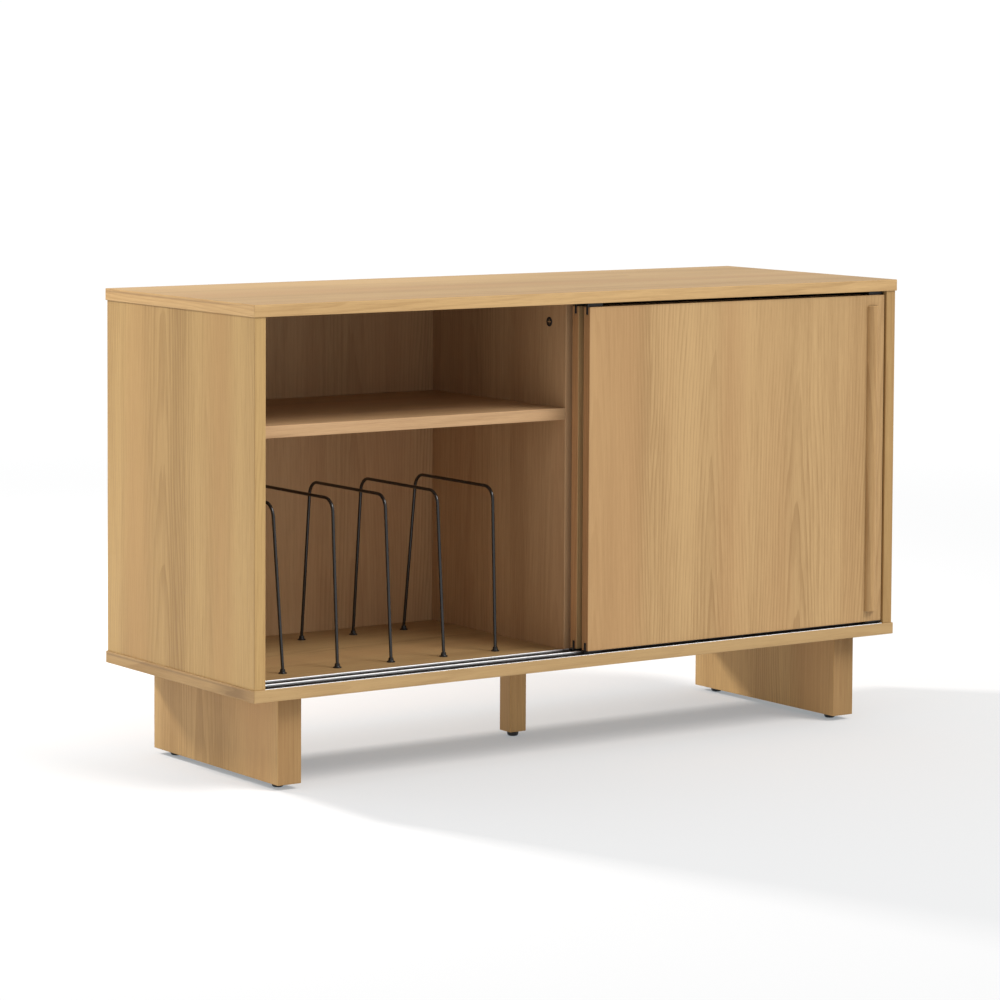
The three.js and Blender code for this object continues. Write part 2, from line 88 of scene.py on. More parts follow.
def length_setting(name, description, default, low, high):
    """A length setting, given in millimetres."""
    return FloatProperty(
        name=name, description=description, default=default * MM, min=low * MM, max=high * MM,
        subtype="DISTANCE", unit="LENGTH",
    )


def count_setting(name, description, default, low, high):
    return IntProperty(name=name, description=description, default=default, min=low, max=high)


def colour_setting(name, description, default):
    """A colour setting, as linear red, green and blue."""
    return FloatVectorProperty(
        name=name, description=description, default=default, min=0, max=1, size=3, subtype="COLOR",
    )


def turn_setting(name, description, degrees):
    return FloatProperty(
        name=name, description=description, default=math.radians(degrees), subtype="ANGLE", unit="ROTATION",
    )


def amount_setting(name, description, default, low, high):
    return FloatProperty(name=name, description=description, default=default, min=low, max=high)


class CabinetSizes(bpy.types.PropertyGroup):
    """Sizes of the fine shape that the frame's plain solids leave out."""

    board_ease: length_setting("Board easing", "Radius of the boards' edges", 0.9, 0.2, 3)
    joint_ease: length_setting("Joint easing", "Radius of board edges that meet another board", 0.35, 0.1, 1)
    leg_ease: length_setting("Leg easing", "Radius of the legs' upright edges", 1.2, 0.2, 5)
    pull_ease: length_setting("Pull easing", "Radius round the pulls' two ends", 1.0, 0.2, 4)
    moulded_ease: length_setting("Moulded easing", "Radius of moulded pieces' edges", 0.3, 0.05, 0.5)
    band: length_setting("Edge band", "Width of the edge band beside each eased edge", 1.2, 0.4, 3)
    round_steps: count_setting("Round steps", "Facets in a quarter round", 4, 2, 12)
    turned_sides: count_setting("Turned sides", "Facets round a turned piece", 64, 24, 160)
    wire_bend: length_setting("Wire bend", "Centre line radius of a record divider's top corners", 22, 8, 60)


class CabinetFinishes(bpy.types.PropertyGroup):
    """Colours of the finishes."""

    oak_light: colour_setting("Oak, light", "Early wood of the oak grain", (0.520, 0.345, 0.165))
    oak_dark: colour_setting("Oak, dark", "Late wood of the oak grain", (0.325, 0.195, 0.084))
    oak_flush: colour_setting("Oak, flush", "Rosy cast that comes and goes", (0.460, 0.272, 0.126))
    leaf_width: length_setting("Veneer leaf", "Width of one leaf of the figure", 195, 50, 600)
    aluminium: colour_setting("Aluminium", "Bottom track", (0.93, 0.935, 0.94))
    black: colour_setting("Black plastic", "Inserts, glides, collars, locks and feet", (0.009, 0.0085, 0.008))
    wire: colour_setting("Wire coating", "Powder coat of the record dividers", (0.010, 0.0095, 0.009))
    steel: colour_setting("Steel", "Nickelled shelf pins", (0.66, 0.64, 0.61))


class CabinetStudio(bpy.types.PropertyGroup):
    """Camera and lights."""

    camera_place: FloatVectorProperty(
        name="Camera", description="Where the camera stands",
        default=(-3.3445, -4.7705, 1.0708), size=3, subtype="TRANSLATION", unit="LENGTH",
    )
    camera_heading: turn_setting("Heading", "Camera's turn to the left of straight ahead", -34.8322)
    camera_pitch: turn_setting("Pitch", "Camera's tilt upwards", -3.7934)
    camera_roll: turn_setting("Roll", "Camera's roll, right side up", 0.3037)
    camera_lens: amount_setting("Lens", "Focal length in millimetres on a 36 mm sensor", 134.798, 10, 500)
    camera_rise: amount_setting("Rise", "Vertical shift of the lens, in picture widths", -0.2, -1, 1)
    sky: amount_setting("Sky", "Even light from all round", 0.72, 0, 5)
    front_light: amount_setting("Front light", "Broad light from above the front right", 1.95, 0, 20)
    back_light: amount_setting("Back light", "Power of the lamp behind the left end, in watts", 78, 0, 1000)


def sizes():
    return bpy.context.scene.cabinet_sizes


def finishes():
    return bpy.context.scene.cabinet_finishes


# ---- Surfaces ----


class Outline:
    """A closed outline with rounded corners, which can be drawn in by any distance.

    A corner's arc is centre + radius * normal, as the normal turns from one side's to the next side's.
    Drawn in by d, the arc is centre + (radius - d) * normal, and once it has shrunk to its centre the
    corner goes on along its mitre. A hollow corner has a negative radius, so drawing in widens it.
    One band's width past each arc a point lies on the flat, so the flats stay flat and the band
    between carries the mask for edge wear and a painted highlight. Where drawing in brings a corner up to
    that point, it pushes it along.
    """

    def __init__(self, corners, radii, band, steps):
        corners = np.asarray(corners, float)
        radii = np.broadcast_to(np.asarray(radii, float), len(corners))
        side = np.roll(corners, -1, axis=0) - corners
        length = np.linalg.norm(side, axis=1)
        ahead = side / length[:, None]
        behind = np.roll(ahead, 1, axis=0)
        turn = behind[:, 0] * ahead[:, 1] - behind[:, 1] * ahead[:, 0]
        straight = (behind * ahead).sum(axis=1)
        angle = np.arctan2(turn, straight)
        first = np.stack([behind[:, 1], -behind[:, 0]], axis=1)
        last = np.stack([ahead[:, 1], -ahead[:, 0]], axis=1)
        mitre = (first + last) / (1 + straight)[:, None]
        radius = np.where(turn < 0, -radii, radii)
        centre = corners - radius[:, None] * mitre

        swing = angle[:, None] * np.linspace(0, 1, steps + 1)
        cos, sin = np.cos(swing), np.sin(swing)
        normal = np.stack([
            first[:, :1] * cos - first[:, 1:] * sin,
            first[:, :1] * sin + first[:, 1:] * cos,
        ], axis=2)
        reach = radii * np.tan(np.abs(angle) / 2)
        spare = np.maximum(length - reach - np.roll(reach, -1), 0)
        flat = np.minimum(band, spare / 2)
        before = corners - behind * (reach + np.roll(flat, 1))[:, None]
        after = corners + ahead * (reach + flat)[:, None]

        def rows(start, middle, end):
            """One row for each corner: its point before, the points of its arc, its point after."""
            middle = np.broadcast_to(middle, (len(corners), steps + 1) + middle.shape[2:])
            return np.concatenate([start[:, None], middle, end[:, None]], axis=1)

        none = np.zeros(len(corners))
        still = np.zeros((len(corners), 1, 2))
        self.centre = rows(before, centre[:, None], after).reshape(-1, 2)
        self.normal = rows(first, normal, last).reshape(-1, 2)
        self.mitre = rows(first, mitre[:, None], last).reshape(-1, 2)
        self.radius = rows(none, radius[:, None], none).ravel()
        self.wear_and_highlight = rows(none, (turn > 0).astype(float)[:, None], none).ravel()
        number = np.arange(len(corners))
        self.corner = rows(number, number[:, None], number).ravel()
        self.along = rows(-behind, still, ahead).reshape(-1, 2)
        self.shrink = rows(np.tan(angle / 2), none[:, None], np.tan(angle / 2)).ravel()
        self.run = rows(reach + np.roll(flat, 1), none[:, None], reach + flat).ravel()

    def drawn_in(self, depth):
        """The outline's points, drawn in by each of the depths: one row of points for each depth."""
        depth = np.asarray(depth, float)[..., None]
        left = self.radius - depth
        past = (self.radius > 0) & (left < 0)
        on_normal = np.where(past, 0, left)[..., None] * self.normal
        on_mitre = np.where(past, left, 0)[..., None] * self.mitre
        pushed = np.maximum(depth * self.shrink - self.run, 0)[..., None] * self.along
        return self.centre + on_normal + on_mitre + pushed


class Pocket:
    """A recess in one edge of a board's section, open only over some lengths of the board.

    Outside those lengths its points fall back onto the edge's line. Its four corners in the outline
    are numbered from first.
    """

    def __init__(self, low, high, level, lengths):
        self.low, self.high, self.level, self.lengths = low, high, level, lengths
        self.first = None


class Surface:
    """Points, faces and edge mask of one closed surface: edge wear, and a painted highlight on the eased
    edges.
    """

    def __init__(self, points, faces, wear_and_highlight=None):
        self.points = np.asarray(points, float).reshape(-1, 3)
        self.faces = faces
        self.wear_and_highlight = np.zeros(len(self.points)) if wear_and_highlight is None else np.asarray(wear_and_highlight, float).ravel()


def grid_faces(rows, columns, wrap_rows=False, wrap_columns=True):
    """Quads between neighbouring rows and columns of a grid of points."""
    row = np.arange(rows if wrap_rows else rows - 1)[:, None]
    column = np.arange(columns if wrap_columns else columns - 1)[None, :]
    next_row, next_column = (row + 1) % rows, (column + 1) % columns
    corners = [(row, column), (row, next_column), (next_row, next_column), (next_row, column)]
    return np.stack([(r * columns + c).ravel() for r, c in corners], axis=1).tolist()


def end_caps(rows, columns):
    """The flat faces that close a grid at its first and last row."""
    first = np.arange(columns)
    return [first[::-1].tolist(), (first + (rows - 1) * columns).tolist()]


def bar(outline, axis, low, high, ease, band, steps, pockets=()):
    """Carries an outline straight along an axis and rounds over both ends.

    At angle a of the rounding the section stands ease * (1 - cos a) in from the end and is drawn in by
    ease * (1 - sin a). Each pocket opens and shuts at a pair of sections that share one place.
    """
    angle = np.linspace(0, math.pi / 2, steps + 1)
    inwards = np.concatenate([[0], ease * (1 - np.cos(angle)), [ease + band]])
    drawn = np.concatenate([[ease + band], ease * (1 - np.sin(angle)), [0]])
    end_wear_and_highlight = np.concatenate([[0], np.ones(steps + 1), [0]])
    place = np.concatenate([low + inwards, high - inwards])
    depth = np.concatenate([drawn, drawn])
    wear_and_highlight = np.concatenate([end_wear_and_highlight, end_wear_and_highlight])
    tiny = 1e-7
    turns = np.array([turn for pocket in pockets for stretch in pocket.lengths for turn in stretch])
    turns = turns[(turns > low) & (turns < high)] if len(turns) else turns
    probe = np.concatenate([place, turns - tiny, turns + tiny])
    place = np.concatenate([place, turns, turns])
    depth = np.concatenate([depth, np.zeros(2 * len(turns))])
    wear_and_highlight = np.concatenate([wear_and_highlight, np.zeros(2 * len(turns))])
    # The two ends' runs and the pockets' pairs are put in order along the bar; at the low end's flat
    # the innermost ring comes first, and at the high end's flat it comes last.
    order = np.lexsort((np.where(probe < (low + high) / 2, -depth, depth), probe))
    place, depth, wear_and_highlight, probe = place[order], depth[order], wear_and_highlight[order], probe[order]

    section = outline.drawn_in(depth)
    wear_and_highlight = np.maximum(wear_and_highlight[:, None], outline.wear_and_highlight[None, :])
    flat = outline.drawn_in(0)
    for pocket in sorted(pockets, key=lambda p: p.first):
        own = np.flatnonzero((outline.corner >= pocket.first) & (outline.corner < pocket.first + 4))
        before, after = section[:, own[0] - 1], section[:, (own[-1] + 1) % len(flat)]
        lengths = np.array(pocket.lengths)
        is_open = ((probe[:, None] >= lengths[:, 0]) & (probe[:, None] <= lengths[:, 1])).any(axis=1)
        ends = np.sort(np.stack([before[:, 0], after[:, 0]]), axis=0)[:, :, None]
        fallen = np.stack([
            np.clip(flat[own, 0], ends[0], ends[1]),
            np.broadcast_to(before[:, 1:], (len(place), len(own))),
        ], axis=-1)
        section[:, own] = np.where(is_open[:, None, None], section[:, own], fallen)
        wear_and_highlight[:, own] = np.where(is_open[:, None], wear_and_highlight[:, own], 0)

    points = np.empty(section.shape[:2] + (3,))
    points[..., axis] = place[:, None]
    points[..., (axis + 1) % 3] = section[..., 0]
    points[..., (axis + 2) % 3] = section[..., 1]
    rows, columns = section.shape[:2]
    return Surface(points, grid_faces(rows, columns) + end_caps(rows, columns), wear_and_highlight)


def turned(outline, centre, axis, sides, facing=1, flutes=0, flute_depth=0.0, flute_span=(0.0, 0.0)):
    """Turns a closed outline of radius and height about an axis through centre.

    At angle t the outline's point (r, h) lies r * cos t and r * sin t across the axis and h along it,
    towards facing. Flutes take flute_depth * (1 + cos(flutes * t)) / 2 off the radius in their span.
    """
    radius, height = outline.drawn_in(0).T
    angle = np.linspace(0, 2 * math.pi, sides, endpoint=False)[:, None]
    fluted = (height > flute_span[0]) & (height < flute_span[1])
    reach = np.maximum(radius - fluted * flute_depth * (1 + np.cos(flutes * angle)) / 2, 0)
    points = np.empty((sides, len(radius), 3))
    points[..., axis] = centre[axis] + facing * height
    points[..., (axis + 1) % 3] = centre[(axis + 1) % 3] + reach * np.cos(angle)
    points[..., (axis + 2) % 3] = centre[(axis + 2) % 3] + reach * np.sin(angle)
    wear_and_highlight = np.broadcast_to(outline.wear_and_highlight, (sides, len(radius)))
    return Surface(points, grid_faces(sides, len(radius), wrap_rows=True), wear_and_highlight)


def tube(path, tangent, radius, sides, across):
    """Carries a circle along a path.

    At angle a the circle's point is path + radius * (cos a * side + sin a * other), where side is the
    across direction made square to the tangent and other is square to both.
    """
    side = across - (tangent @ across)[:, None] * tangent
    side /= np.linalg.norm(side, axis=1, keepdims=True)
    other = np.cross(tangent, side)
    angle = np.linspace(0, 2 * math.pi, sides, endpoint=False)
    ring = np.cos(angle)[:, None] * side[:, None] + np.sin(angle)[:, None] * other[:, None]
    points = path[:, None] + radius * ring
    return Surface(points, grid_faces(len(path), sides) + end_caps(len(path), sides))


def bent_path(corners, radius, steps):
    """A path through corners, each rounded, with its tangents.

    With directions t before a corner and n square to it in the bend's plane, the bend's point at angle
    a is start + radius * (sin a * t + (1 - cos a) * n), and its tangent is cos a * t + sin a * n.
    """
    corners = np.asarray(corners, float)
    leg = np.diff(corners, axis=0)
    leg /= np.linalg.norm(leg, axis=1, keepdims=True)
    before, after = leg[:-1], leg[1:]
    straight = (before * after).sum(axis=1, keepdims=True)
    sweep = np.arccos(np.clip(straight, -1, 1))
    inward = after - straight * before
    inward /= np.linalg.norm(inward, axis=1, keepdims=True)
    start = corners[1:-1] - before * radius * np.tan(sweep / 2)
    angle = (sweep * np.linspace(0, 1, steps + 1))[..., None]
    bend = start[:, None] + radius * (np.sin(angle) * before[:, None] + (1 - np.cos(angle)) * inward[:, None])
    heading = np.cos(angle) * before[:, None] + np.sin(angle) * inward[:, None]
    path = np.concatenate([corners[:1], bend.reshape(-1, 3), corners[-1:]])
    tangent = np.concatenate([leg[:1], heading.reshape(-1, 3), leg[-1:]])
    return path, tangent


# ---- Materials ----


def find(sockets, key):
    """A socket by its place, its identifier or its name."""
    if isinstance(key, int):
        return sockets[key]
    return next((s for s in sockets if s.identifier == key), None) or sockets[key]


class Value:
    """A shader socket that can be written into sums: each operation adds its Math node."""

    def __init__(self, shader, socket):
        self.shader = shader
        self.socket = socket

    def math(self, operation, first, second):
        return self.shader.add("Math", {"operation": operation}, {0: first, 1: second})

    def __add__(self, other):
        return self.math("ADD", self, other)

    def __radd__(self, other):
        return self.math("ADD", other, self)

    def __sub__(self, other):
        return self.math("SUBTRACT", self, other)

    def __mul__(self, other):
        return self.math("MULTIPLY", self, other)

    def __rmul__(self, other):
        return self.math("MULTIPLY", other, self)

    def __truediv__(self, other):
        return self.math("DIVIDE", self, other)

    def __pow__(self, other):
        return self.math("POWER", self, other)


class Shader:
    """A new material, whose nodes are added by name."""

    def __init__(self, name):
        self.material = bpy.data.materials.new(name)
        self.material.use_nodes = True
        self.tree = self.material.node_tree
        self.tree.nodes.clear()

    def add(self, kind, settings=None, inputs=None, output=0):
        """Adds a node: its settings first, then the values or links of its sockets."""
        node = self.tree.nodes.new("ShaderNode" + kind)
        for key, value in (settings or {}).items():
            setattr(node, key, value)
        for key, value in (inputs or {}).items():
            socket = find(node.inputs, key)
            if isinstance(value, Value):
                self.tree.links.new(value.socket, socket)
            else:
                socket.default_value = value
        return Value(self, find(node.outputs, output)) if node.outputs else None

    def place(self):
        """The object's own coordinates, in metres."""
        return self.add("TexCoord", output="Object")

    def attribute(self, name):
        return self.add("Attribute", {"attribute_name": name}, output="Fac")

    def vector(self, x=0.0, y=0.0, z=0.0):
        return self.add("CombineXYZ", inputs={"X": x, "Y": y, "Z": z})

    def parts(self, vector):
        return [self.add("SeparateXYZ", inputs={0: vector}, output=axis) for axis in "XYZ"]

    def noise(self, vector, scale, detail=2.0, roughness=0.5):
        """Noise about zero, from the vector times a scale for each axis."""
        stretched = self.add("VectorMath", {"operation": "MULTIPLY"}, {0: vector, 1: scale})
        settings = {"Vector": stretched, "Scale": 1.0, "Detail": detail, "Roughness": roughness}
        return self.add("TexNoise", inputs=settings, output="Fac") - 0.5

    def step(self, value, low, high):
        """Zero below low, one above high and smooth between."""
        limits = {"Value": value, "From Min": low, "From Max": high}
        return self.add("MapRange", {"interpolation_type": "SMOOTHSTEP"}, limits)

    def mix(self, factor, first, second, blend="MIX"):
        colours = {"Factor_Float": factor, "A_Color": first, "B_Color": second}
        return self.add("Mix", {"data_type": "RGBA", "blend_type": blend}, colours, "Result_Color")

    def bump(self, height, strength, distance):
        return self.add("Bump", inputs={"Height": height, "Strength": strength, "Distance": distance})

    def finish(self, sockets):
        """Feeds the surface shader and returns the material."""
        surface = self.add("BsdfPrincipled", inputs=sockets)
        self.add("OutputMaterial", inputs={"Surface": surface})
        return self.material


def opaque(colour):
    return (*colour, 1.0)


def oak(name, seed, tone, edge=(1.0, 1.0, 1.0), solid=False):
    """Light oak grain.

    The figure is plain-sawn: rings at distance sqrt(across^2 + depth^2) from the middle of each leaf,
    climbing slowly along the grain, so they meet in long arches. Over it lie broad bands, streaks,
    fibres and short dark pores. Boards read their own grain map; solid pieces read their own place.
    """
    look = finishes()
    shader = Shader(name)
    if solid:
        place = shader.place()
        x, y, z = shader.parts(place)
        along, across, depth = z, x + seed, y
    else:
        along, across, _ = shader.parts(shader.add("UVMap", {"uv_map": "grain"}))
        depth = seed * 0.37
    grain = shader.vector(along, across, depth)
    wear_and_highlight = shader.attribute("wear_and_highlight")

    leaf = shader.add("Math", {"operation": "FLOOR"}, {0: across / look.leaf_width})
    chance = shader.add("TexWhiteNoise", {"noise_dimensions": "1D"}, {"W": leaf + seed}, "Value")
    local = across - (leaf + 0.5) * look.leaf_width + (chance - 0.5) * 0.07
    wander = shader.noise(grain, (1.3, 5.0, 1.0), 2) * 0.045
    offset = local + wander
    pith = chance * 0.030 + 0.010
    ripple = shader.noise(grain, (3.0, 22.0, 1.0), 3) * 0.010
    climb = along * 0.030 + chance * 3.1
    distance = (offset * offset + pith * pith) ** 0.5 + climb + ripple
    drift = shader.noise(grain, (1.5, 34.0, 1.0), 2) * 2.2
    ring = shader.add("Math", {"operation": "FRACT"}, {0: distance / RING_WIDTH + drift})
    late = shader.step(ring, 0.30, 0.93) - shader.step(ring, 0.95, 1.0)
    figure = shader.step(shader.noise(grain, (1.1, 6.0, 1.0), 1), -0.12, 0.22)

    band = shader.noise(grain, (0.9, 13.0, 1.0), 3)
    streak = shader.noise(grain, (5.0, 130.0, 60.0), 5, 0.78)
    fibre = shader.noise(grain, (22.0, 800.0, 800.0), 3, 0.6)
    pore = shader.step(shader.noise(grain, (70.0, 2600.0, 2600.0), 1), 0.17, 0.26)

    dark = (late * (figure * 0.60 + 0.20)) * 0.50 - band * 1.25 - streak * 1.15 - fibre * 0.85
    tint = shader.step(dark + 0.36 + (chance - 0.5) * 0.30, -0.15, 1.15)
    colour = shader.mix(tint, opaque(look.oak_light), opaque(look.oak_dark))
    flush = shader.step(shader.noise(grain, (0.4, 8.0, 1.0), 1), -0.05, 0.25) * 0.55
    colour = shader.mix(flush, colour, opaque(look.oak_flush))
    colour = shader.mix(pore * 0.22, colour, opaque((0.14, 0.08, 0.04)))
    # Painted highlight: a paler oak is mixed in along the eased edges, with a little noise.
    painted_edge_highlight = wear_and_highlight * (shader.noise(grain, (60.0, 60.0, 60.0), 2) + 0.75) * 0.12
    colour = shader.mix(painted_edge_highlight, colour, opaque(tuple(min(1.0, 1.1 * c) for c in look.oak_light)))
    seam = (shader.step(wear_and_highlight, 0.02, 0.10) - shader.step(wear_and_highlight, 0.14, 0.30)) * 0.35
    colour = shader.mix(seam, colour, opaque((0.13, 0.08, 0.045)))
    # Edge faces of the listed boards take the edge tone: lipping of another tone, and on the legs a painted
    # shade.
    edge_lipping_or_shade = shader.attribute("lipping_or_shade")
    shade = shader.mix(edge_lipping_or_shade, opaque(tone), opaque(tuple(c * e for c, e in zip(tone, edge))))
    colour = shader.mix(1.0, colour, shade, "MULTIPLY")

    roughness = 0.52 + streak * 0.12 + pore * 0.15 + wear_and_highlight * 0.12
    height = late * 0.25 + fibre * 0.9 - pore * 0.8
    return shader.finish({
        "Base Color": colour,
        "Roughness": roughness,
        "Normal": shader.bump(height, 0.35, 0.06 * MM),
        "IOR": 1.46,
        "Specular IOR Level": 0.25,
    })


def drawn_aluminium(name):
    """Clear anodised aluminium with the die's fine lines along its length."""
    shader = Shader(name)
    place = shader.place()
    lines = shader.noise(place, (2.0, 2600.0, 2600.0), 3, 0.6)
    cloud = shader.noise(place, (9.0, 60.0, 60.0), 2)
    wear_and_highlight = shader.attribute("wear_and_highlight")
    base = opaque(finishes().aluminium)
    colour = shader.mix(lines * 0.5 + 0.15, base, opaque((0.74, 0.75, 0.77)))
    # Painted highlight: the eased edges are mixed towards a pale grey.
    colour = shader.mix(wear_and_highlight * 0.35, colour, opaque((0.95, 0.95, 0.95)))
    return shader.finish({
        "Base Color": colour,
        "Metallic": 1.0,
        "Roughness": 0.50 + lines * 0.16 + cloud * 0.10,
        "Normal": shader.bump(lines, 0.30, 0.02 * MM),
    })


def moulded_black(name, roughness, grain_scale, shine=0.45):
    """Black moulded plastic: a fine spark-eroded texture, smoother at the eased edges and paler there as a
    painted highlight.
    """
    shader = Shader(name)
    place = shader.place()
    texture = shader.noise(place, (grain_scale,) * 3, 3, 0.55)
    cloud = shader.noise(place, (70.0,) * 3, 2)
    wear_and_highlight = shader.attribute("wear_and_highlight")
    base = finishes().black
    colour = shader.mix(cloud + 0.35, opaque(base), opaque(tuple(1.9 * c for c in base)))
    # Painted highlight: the eased edges are mixed towards a dark grey that is paler than the black.
    colour = shader.mix(wear_and_highlight * 0.25, colour, opaque((0.050, 0.048, 0.045)))
    return shader.finish({
        "Base Color": colour,
        "Roughness": roughness + texture * 0.25 - wear_and_highlight * 0.10,
        "Normal": shader.bump(texture, 0.35, 0.04 * MM),
        "Specular IOR Level": shine,
    })


def powder_coat(name):
    """Black semi-gloss powder coat with a faint orange peel."""
    shader = Shader(name)
    place = shader.place()
    peel = shader.noise(place, (620.0,) * 3, 2, 0.45)
    cloud = shader.noise(place, (30.0,) * 3, 2)
    base = finishes().wire
    colour = shader.mix(cloud + 0.4, opaque(base), opaque(tuple(1.7 * c for c in base)))
    return shader.finish({
        "Base Color": colour,
        "Roughness": 0.24 + cloud * 0.12 + peel * 0.08,
        "Normal": shader.bump(peel, 0.30, 0.05 * MM),
        "Coat Weight": 0.25,
        "Coat Roughness": 0.18,
    })


def nickelled_steel(name):
    """Nickelled steel with fine turning marks round the pin."""
    shader = Shader(name)
    place = shader.place()
    marks = shader.noise(place, (3800.0, 40.0, 40.0), 2)
    colour = shader.mix(marks + 0.3, opaque(finishes().steel), opaque((0.50, 0.48, 0.45)))
    return shader.finish({
        "Base Color": colour,
        "Metallic": 1.0,
        "Roughness": 0.26 + marks * 0.15,
        "Normal": shader.bump(marks, 0.25, 0.02 * MM),
    })


FINISHES = {
    "oak_boards": lambda name: oak(name, 3.0, (0.90, 0.885, 0.84), (1.33, 1.33, 1.33)),
    "oak_uprights": lambda name: oak(name, 11.0, (0.95, 0.92, 0.78)),
    # Inside the bays: a paler, bluer oak, painted light that offsets how dark and warm the shade inside
    # renders.
    "oak_inner_painted_light": lambda name: oak(name, 17.0, (1.10, 1.05, 1.16)),
    "oak_doors": lambda name: oak(name, 23.0, (1.01, 0.98, 0.94), (1.10, 0.94, 0.92)),
    # Legs: the edge tone darkens their front and back faces, a painted shade on faces that the front light
    # reaches.
    "oak_legs": lambda name: oak(name, 37.0, (1.05, 1.00, 0.88), (0.74, 0.73, 0.73)),
    "oak_pulls": lambda name: oak(name, 41.3, (1.00, 0.94, 0.86), solid=True),
    "track_aluminium": drawn_aluminium,
    "track_plastic": lambda name: moulded_black(name, 0.30, 1500.0, 0.04),
    "glide_plastic": lambda name: moulded_black(name, 0.48, 1900.0),
    "collar_plastic": lambda name: moulded_black(name, 0.26, 2200.0),
    "fitting_plastic": lambda name: moulded_black(name, 0.45, 2400.0),
    "foot_plastic": lambda name: moulded_black(name, 0.30, 1700.0),
    "divider_wire": powder_coat,
    "pin_steel": nickelled_steel,
}


def finish_named(slot):
    """The slot's finish, made the first time that it is asked for."""
    name = slot + "_finish"
    return bpy.data.materials.get(name) or FINISHES[slot](name)


# ---- Pieces ----


# Boards whose edge faces take another tone than their broad faces: lipping of another tone on the top panel
# and the doors, and a painted shade on the legs' front and back faces.
LIPPED_OR_SHADED = {"top_panel", "left_leg", "right_leg", "outer_door", "inner_door"}


def lay_grain(mesh, along, shift, lipped_or_shaded):
    """Writes the grain map: along the grain, then across it, in metres, on every face.

    A face reads its place along the grain axis and along its other axis. On the banded ends, where the
    grain axis would stand square to the face, the grain runs along the end's longer side.
    """
    count, loops = len(mesh.polygons), len(mesh.loops)
    normal = np.empty(count * 3)
    total = np.empty(count, dtype=np.int32)
    vertex = np.empty(loops, dtype=np.int32)
    point = np.empty(len(mesh.vertices) * 3)
    mesh.polygons.foreach_get("normal", normal)
    mesh.polygons.foreach_get("loop_total", total)
    mesh.loops.foreach_get("vertex_index", vertex)
    mesh.vertices.foreach_get("co", point)
    normal, point = normal.reshape(-1, 3), point.reshape(-1, 3)
    facing = np.abs(normal).argmax(axis=1)
    side = np.sign(normal[np.arange(count), facing])
    extent = point.max(axis=0) - point.min(axis=0)
    # Edge faces of a listed board are marked for the edge tone: lipping, or painted shade on the legs.
    lipping_or_shade = mesh.attributes.new("lipping_or_shade", "FLOAT", "FACE")
    lipping_or_shade.data.foreach_set("value", ((facing != extent.argmin()) * lipped_or_shaded).astype(np.float32))
    extent[along] = 0
    longer = extent.argmax()
    first = np.where(facing != along, along, longer)
    second = 3 - facing - first
    face = np.repeat(np.arange(count), total)
    place = point[vertex]
    row = np.arange(loops)
    grain = np.stack([place[row, first[face]], place[row, second[face]]], axis=1)
    # Each side of a board is a different leaf, so its pattern starts somewhere else.
    leaf = np.stack([0.61 * facing, 0.43 * facing + 0.21 * side], axis=1)
    grain += np.array(shift) + leaf[face]
    layer = mesh.uv_layers.new(name="grain")
    layer.data.foreach_set("uv", grain.ravel())


def place_piece(node, surface, grain=None, finish=None):
    """Puts a surface in place of the frame's node, on the same body and with its slot's finish or the finish
    given.
    """
    mesh = bpy.data.meshes.new(node + "_surface")
    mesh.from_pydata(surface.points, [], surface.faces)
    # The edge mask marks the eased edges for wear and a painted highlight.
    wear_and_highlight = mesh.attributes.new("wear_and_highlight", "FLOAT", "POINT")
    wear_and_highlight.data.foreach_set("value", surface.wear_and_highlight.astype(np.float32))
    work = bmesh.new()
    work.from_mesh(mesh)
    bmesh.ops.remove_doubles(work, verts=work.verts, dist=1e-6)
    loose = [edge for edge in work.edges if not edge.link_faces]
    bmesh.ops.delete(work, geom=loose, context="EDGES")
    bmesh.ops.recalc_face_normals(work, faces=work.faces)
    open_edges = sum(not edge.is_manifold for edge in work.edges)
    work.to_mesh(mesh)
    work.free()
    if open_edges:
        raise RuntimeError(f"{node}: {open_edges} edges of its surface aren't closed")
    mesh.polygons.foreach_set("use_smooth", np.ones(len(mesh.polygons), dtype=bool))
    mesh.set_sharp_from_angle(angle=SHARP)
    if grain is not None:
        place = sum(map(ord, node))
        lay_grain(mesh, grain, ((place * 0.377) % 3.0, (place * 0.618) % 2.0), node in LIPPED_OR_SHADED)
    piece = bpy.data.objects.new(mesh.name, mesh)
    bpy.context.scene.collection.objects.link(piece)
    mesh.materials.append(finish_named(finish or SLOT_OF[node]))
    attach(piece, BODY_OF[node])
    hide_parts(node)
    return piece


def rectangle(low, high, first, second):
    """Corners of a box's section across two of its axes."""
    return [(low[first], low[second]), (high[first], low[second]),
            (high[first], high[second]), (low[first], high[second])]


def board_outline(low, high, ease, under=(), over=()):
    """The section of a board from its low to its high corner, with pockets in its lower and upper edge."""
    own = sizes()
    mouth, root = 0.25 * MM, 0.1 * MM
    corners, radii = [(low[0], low[1])], [ease]
    for pocket in sorted(under, key=lambda p: p.low):
        pocket.first = len(corners)
        corners += [(pocket.low, low[1]), (pocket.low, pocket.level),
                    (pocket.high, pocket.level), (pocket.high, low[1])]
        radii += [mouth, root, root, mouth]
    corners += [(high[0], low[1]), (high[0], high[1])]
    radii += [ease, ease]
    for pocket in sorted(over, key=lambda p: -p.low):
        pocket.first = len(corners)
        corners += [(pocket.high, high[1]), (pocket.high, pocket.level),
                    (pocket.low, pocket.level), (pocket.low, high[1])]
        radii += [mouth, root, root, mouth]
    corners.append((low[0], high[1]))
    radii.append(ease)
    return Outline(corners, radii, own.band, own.round_steps)


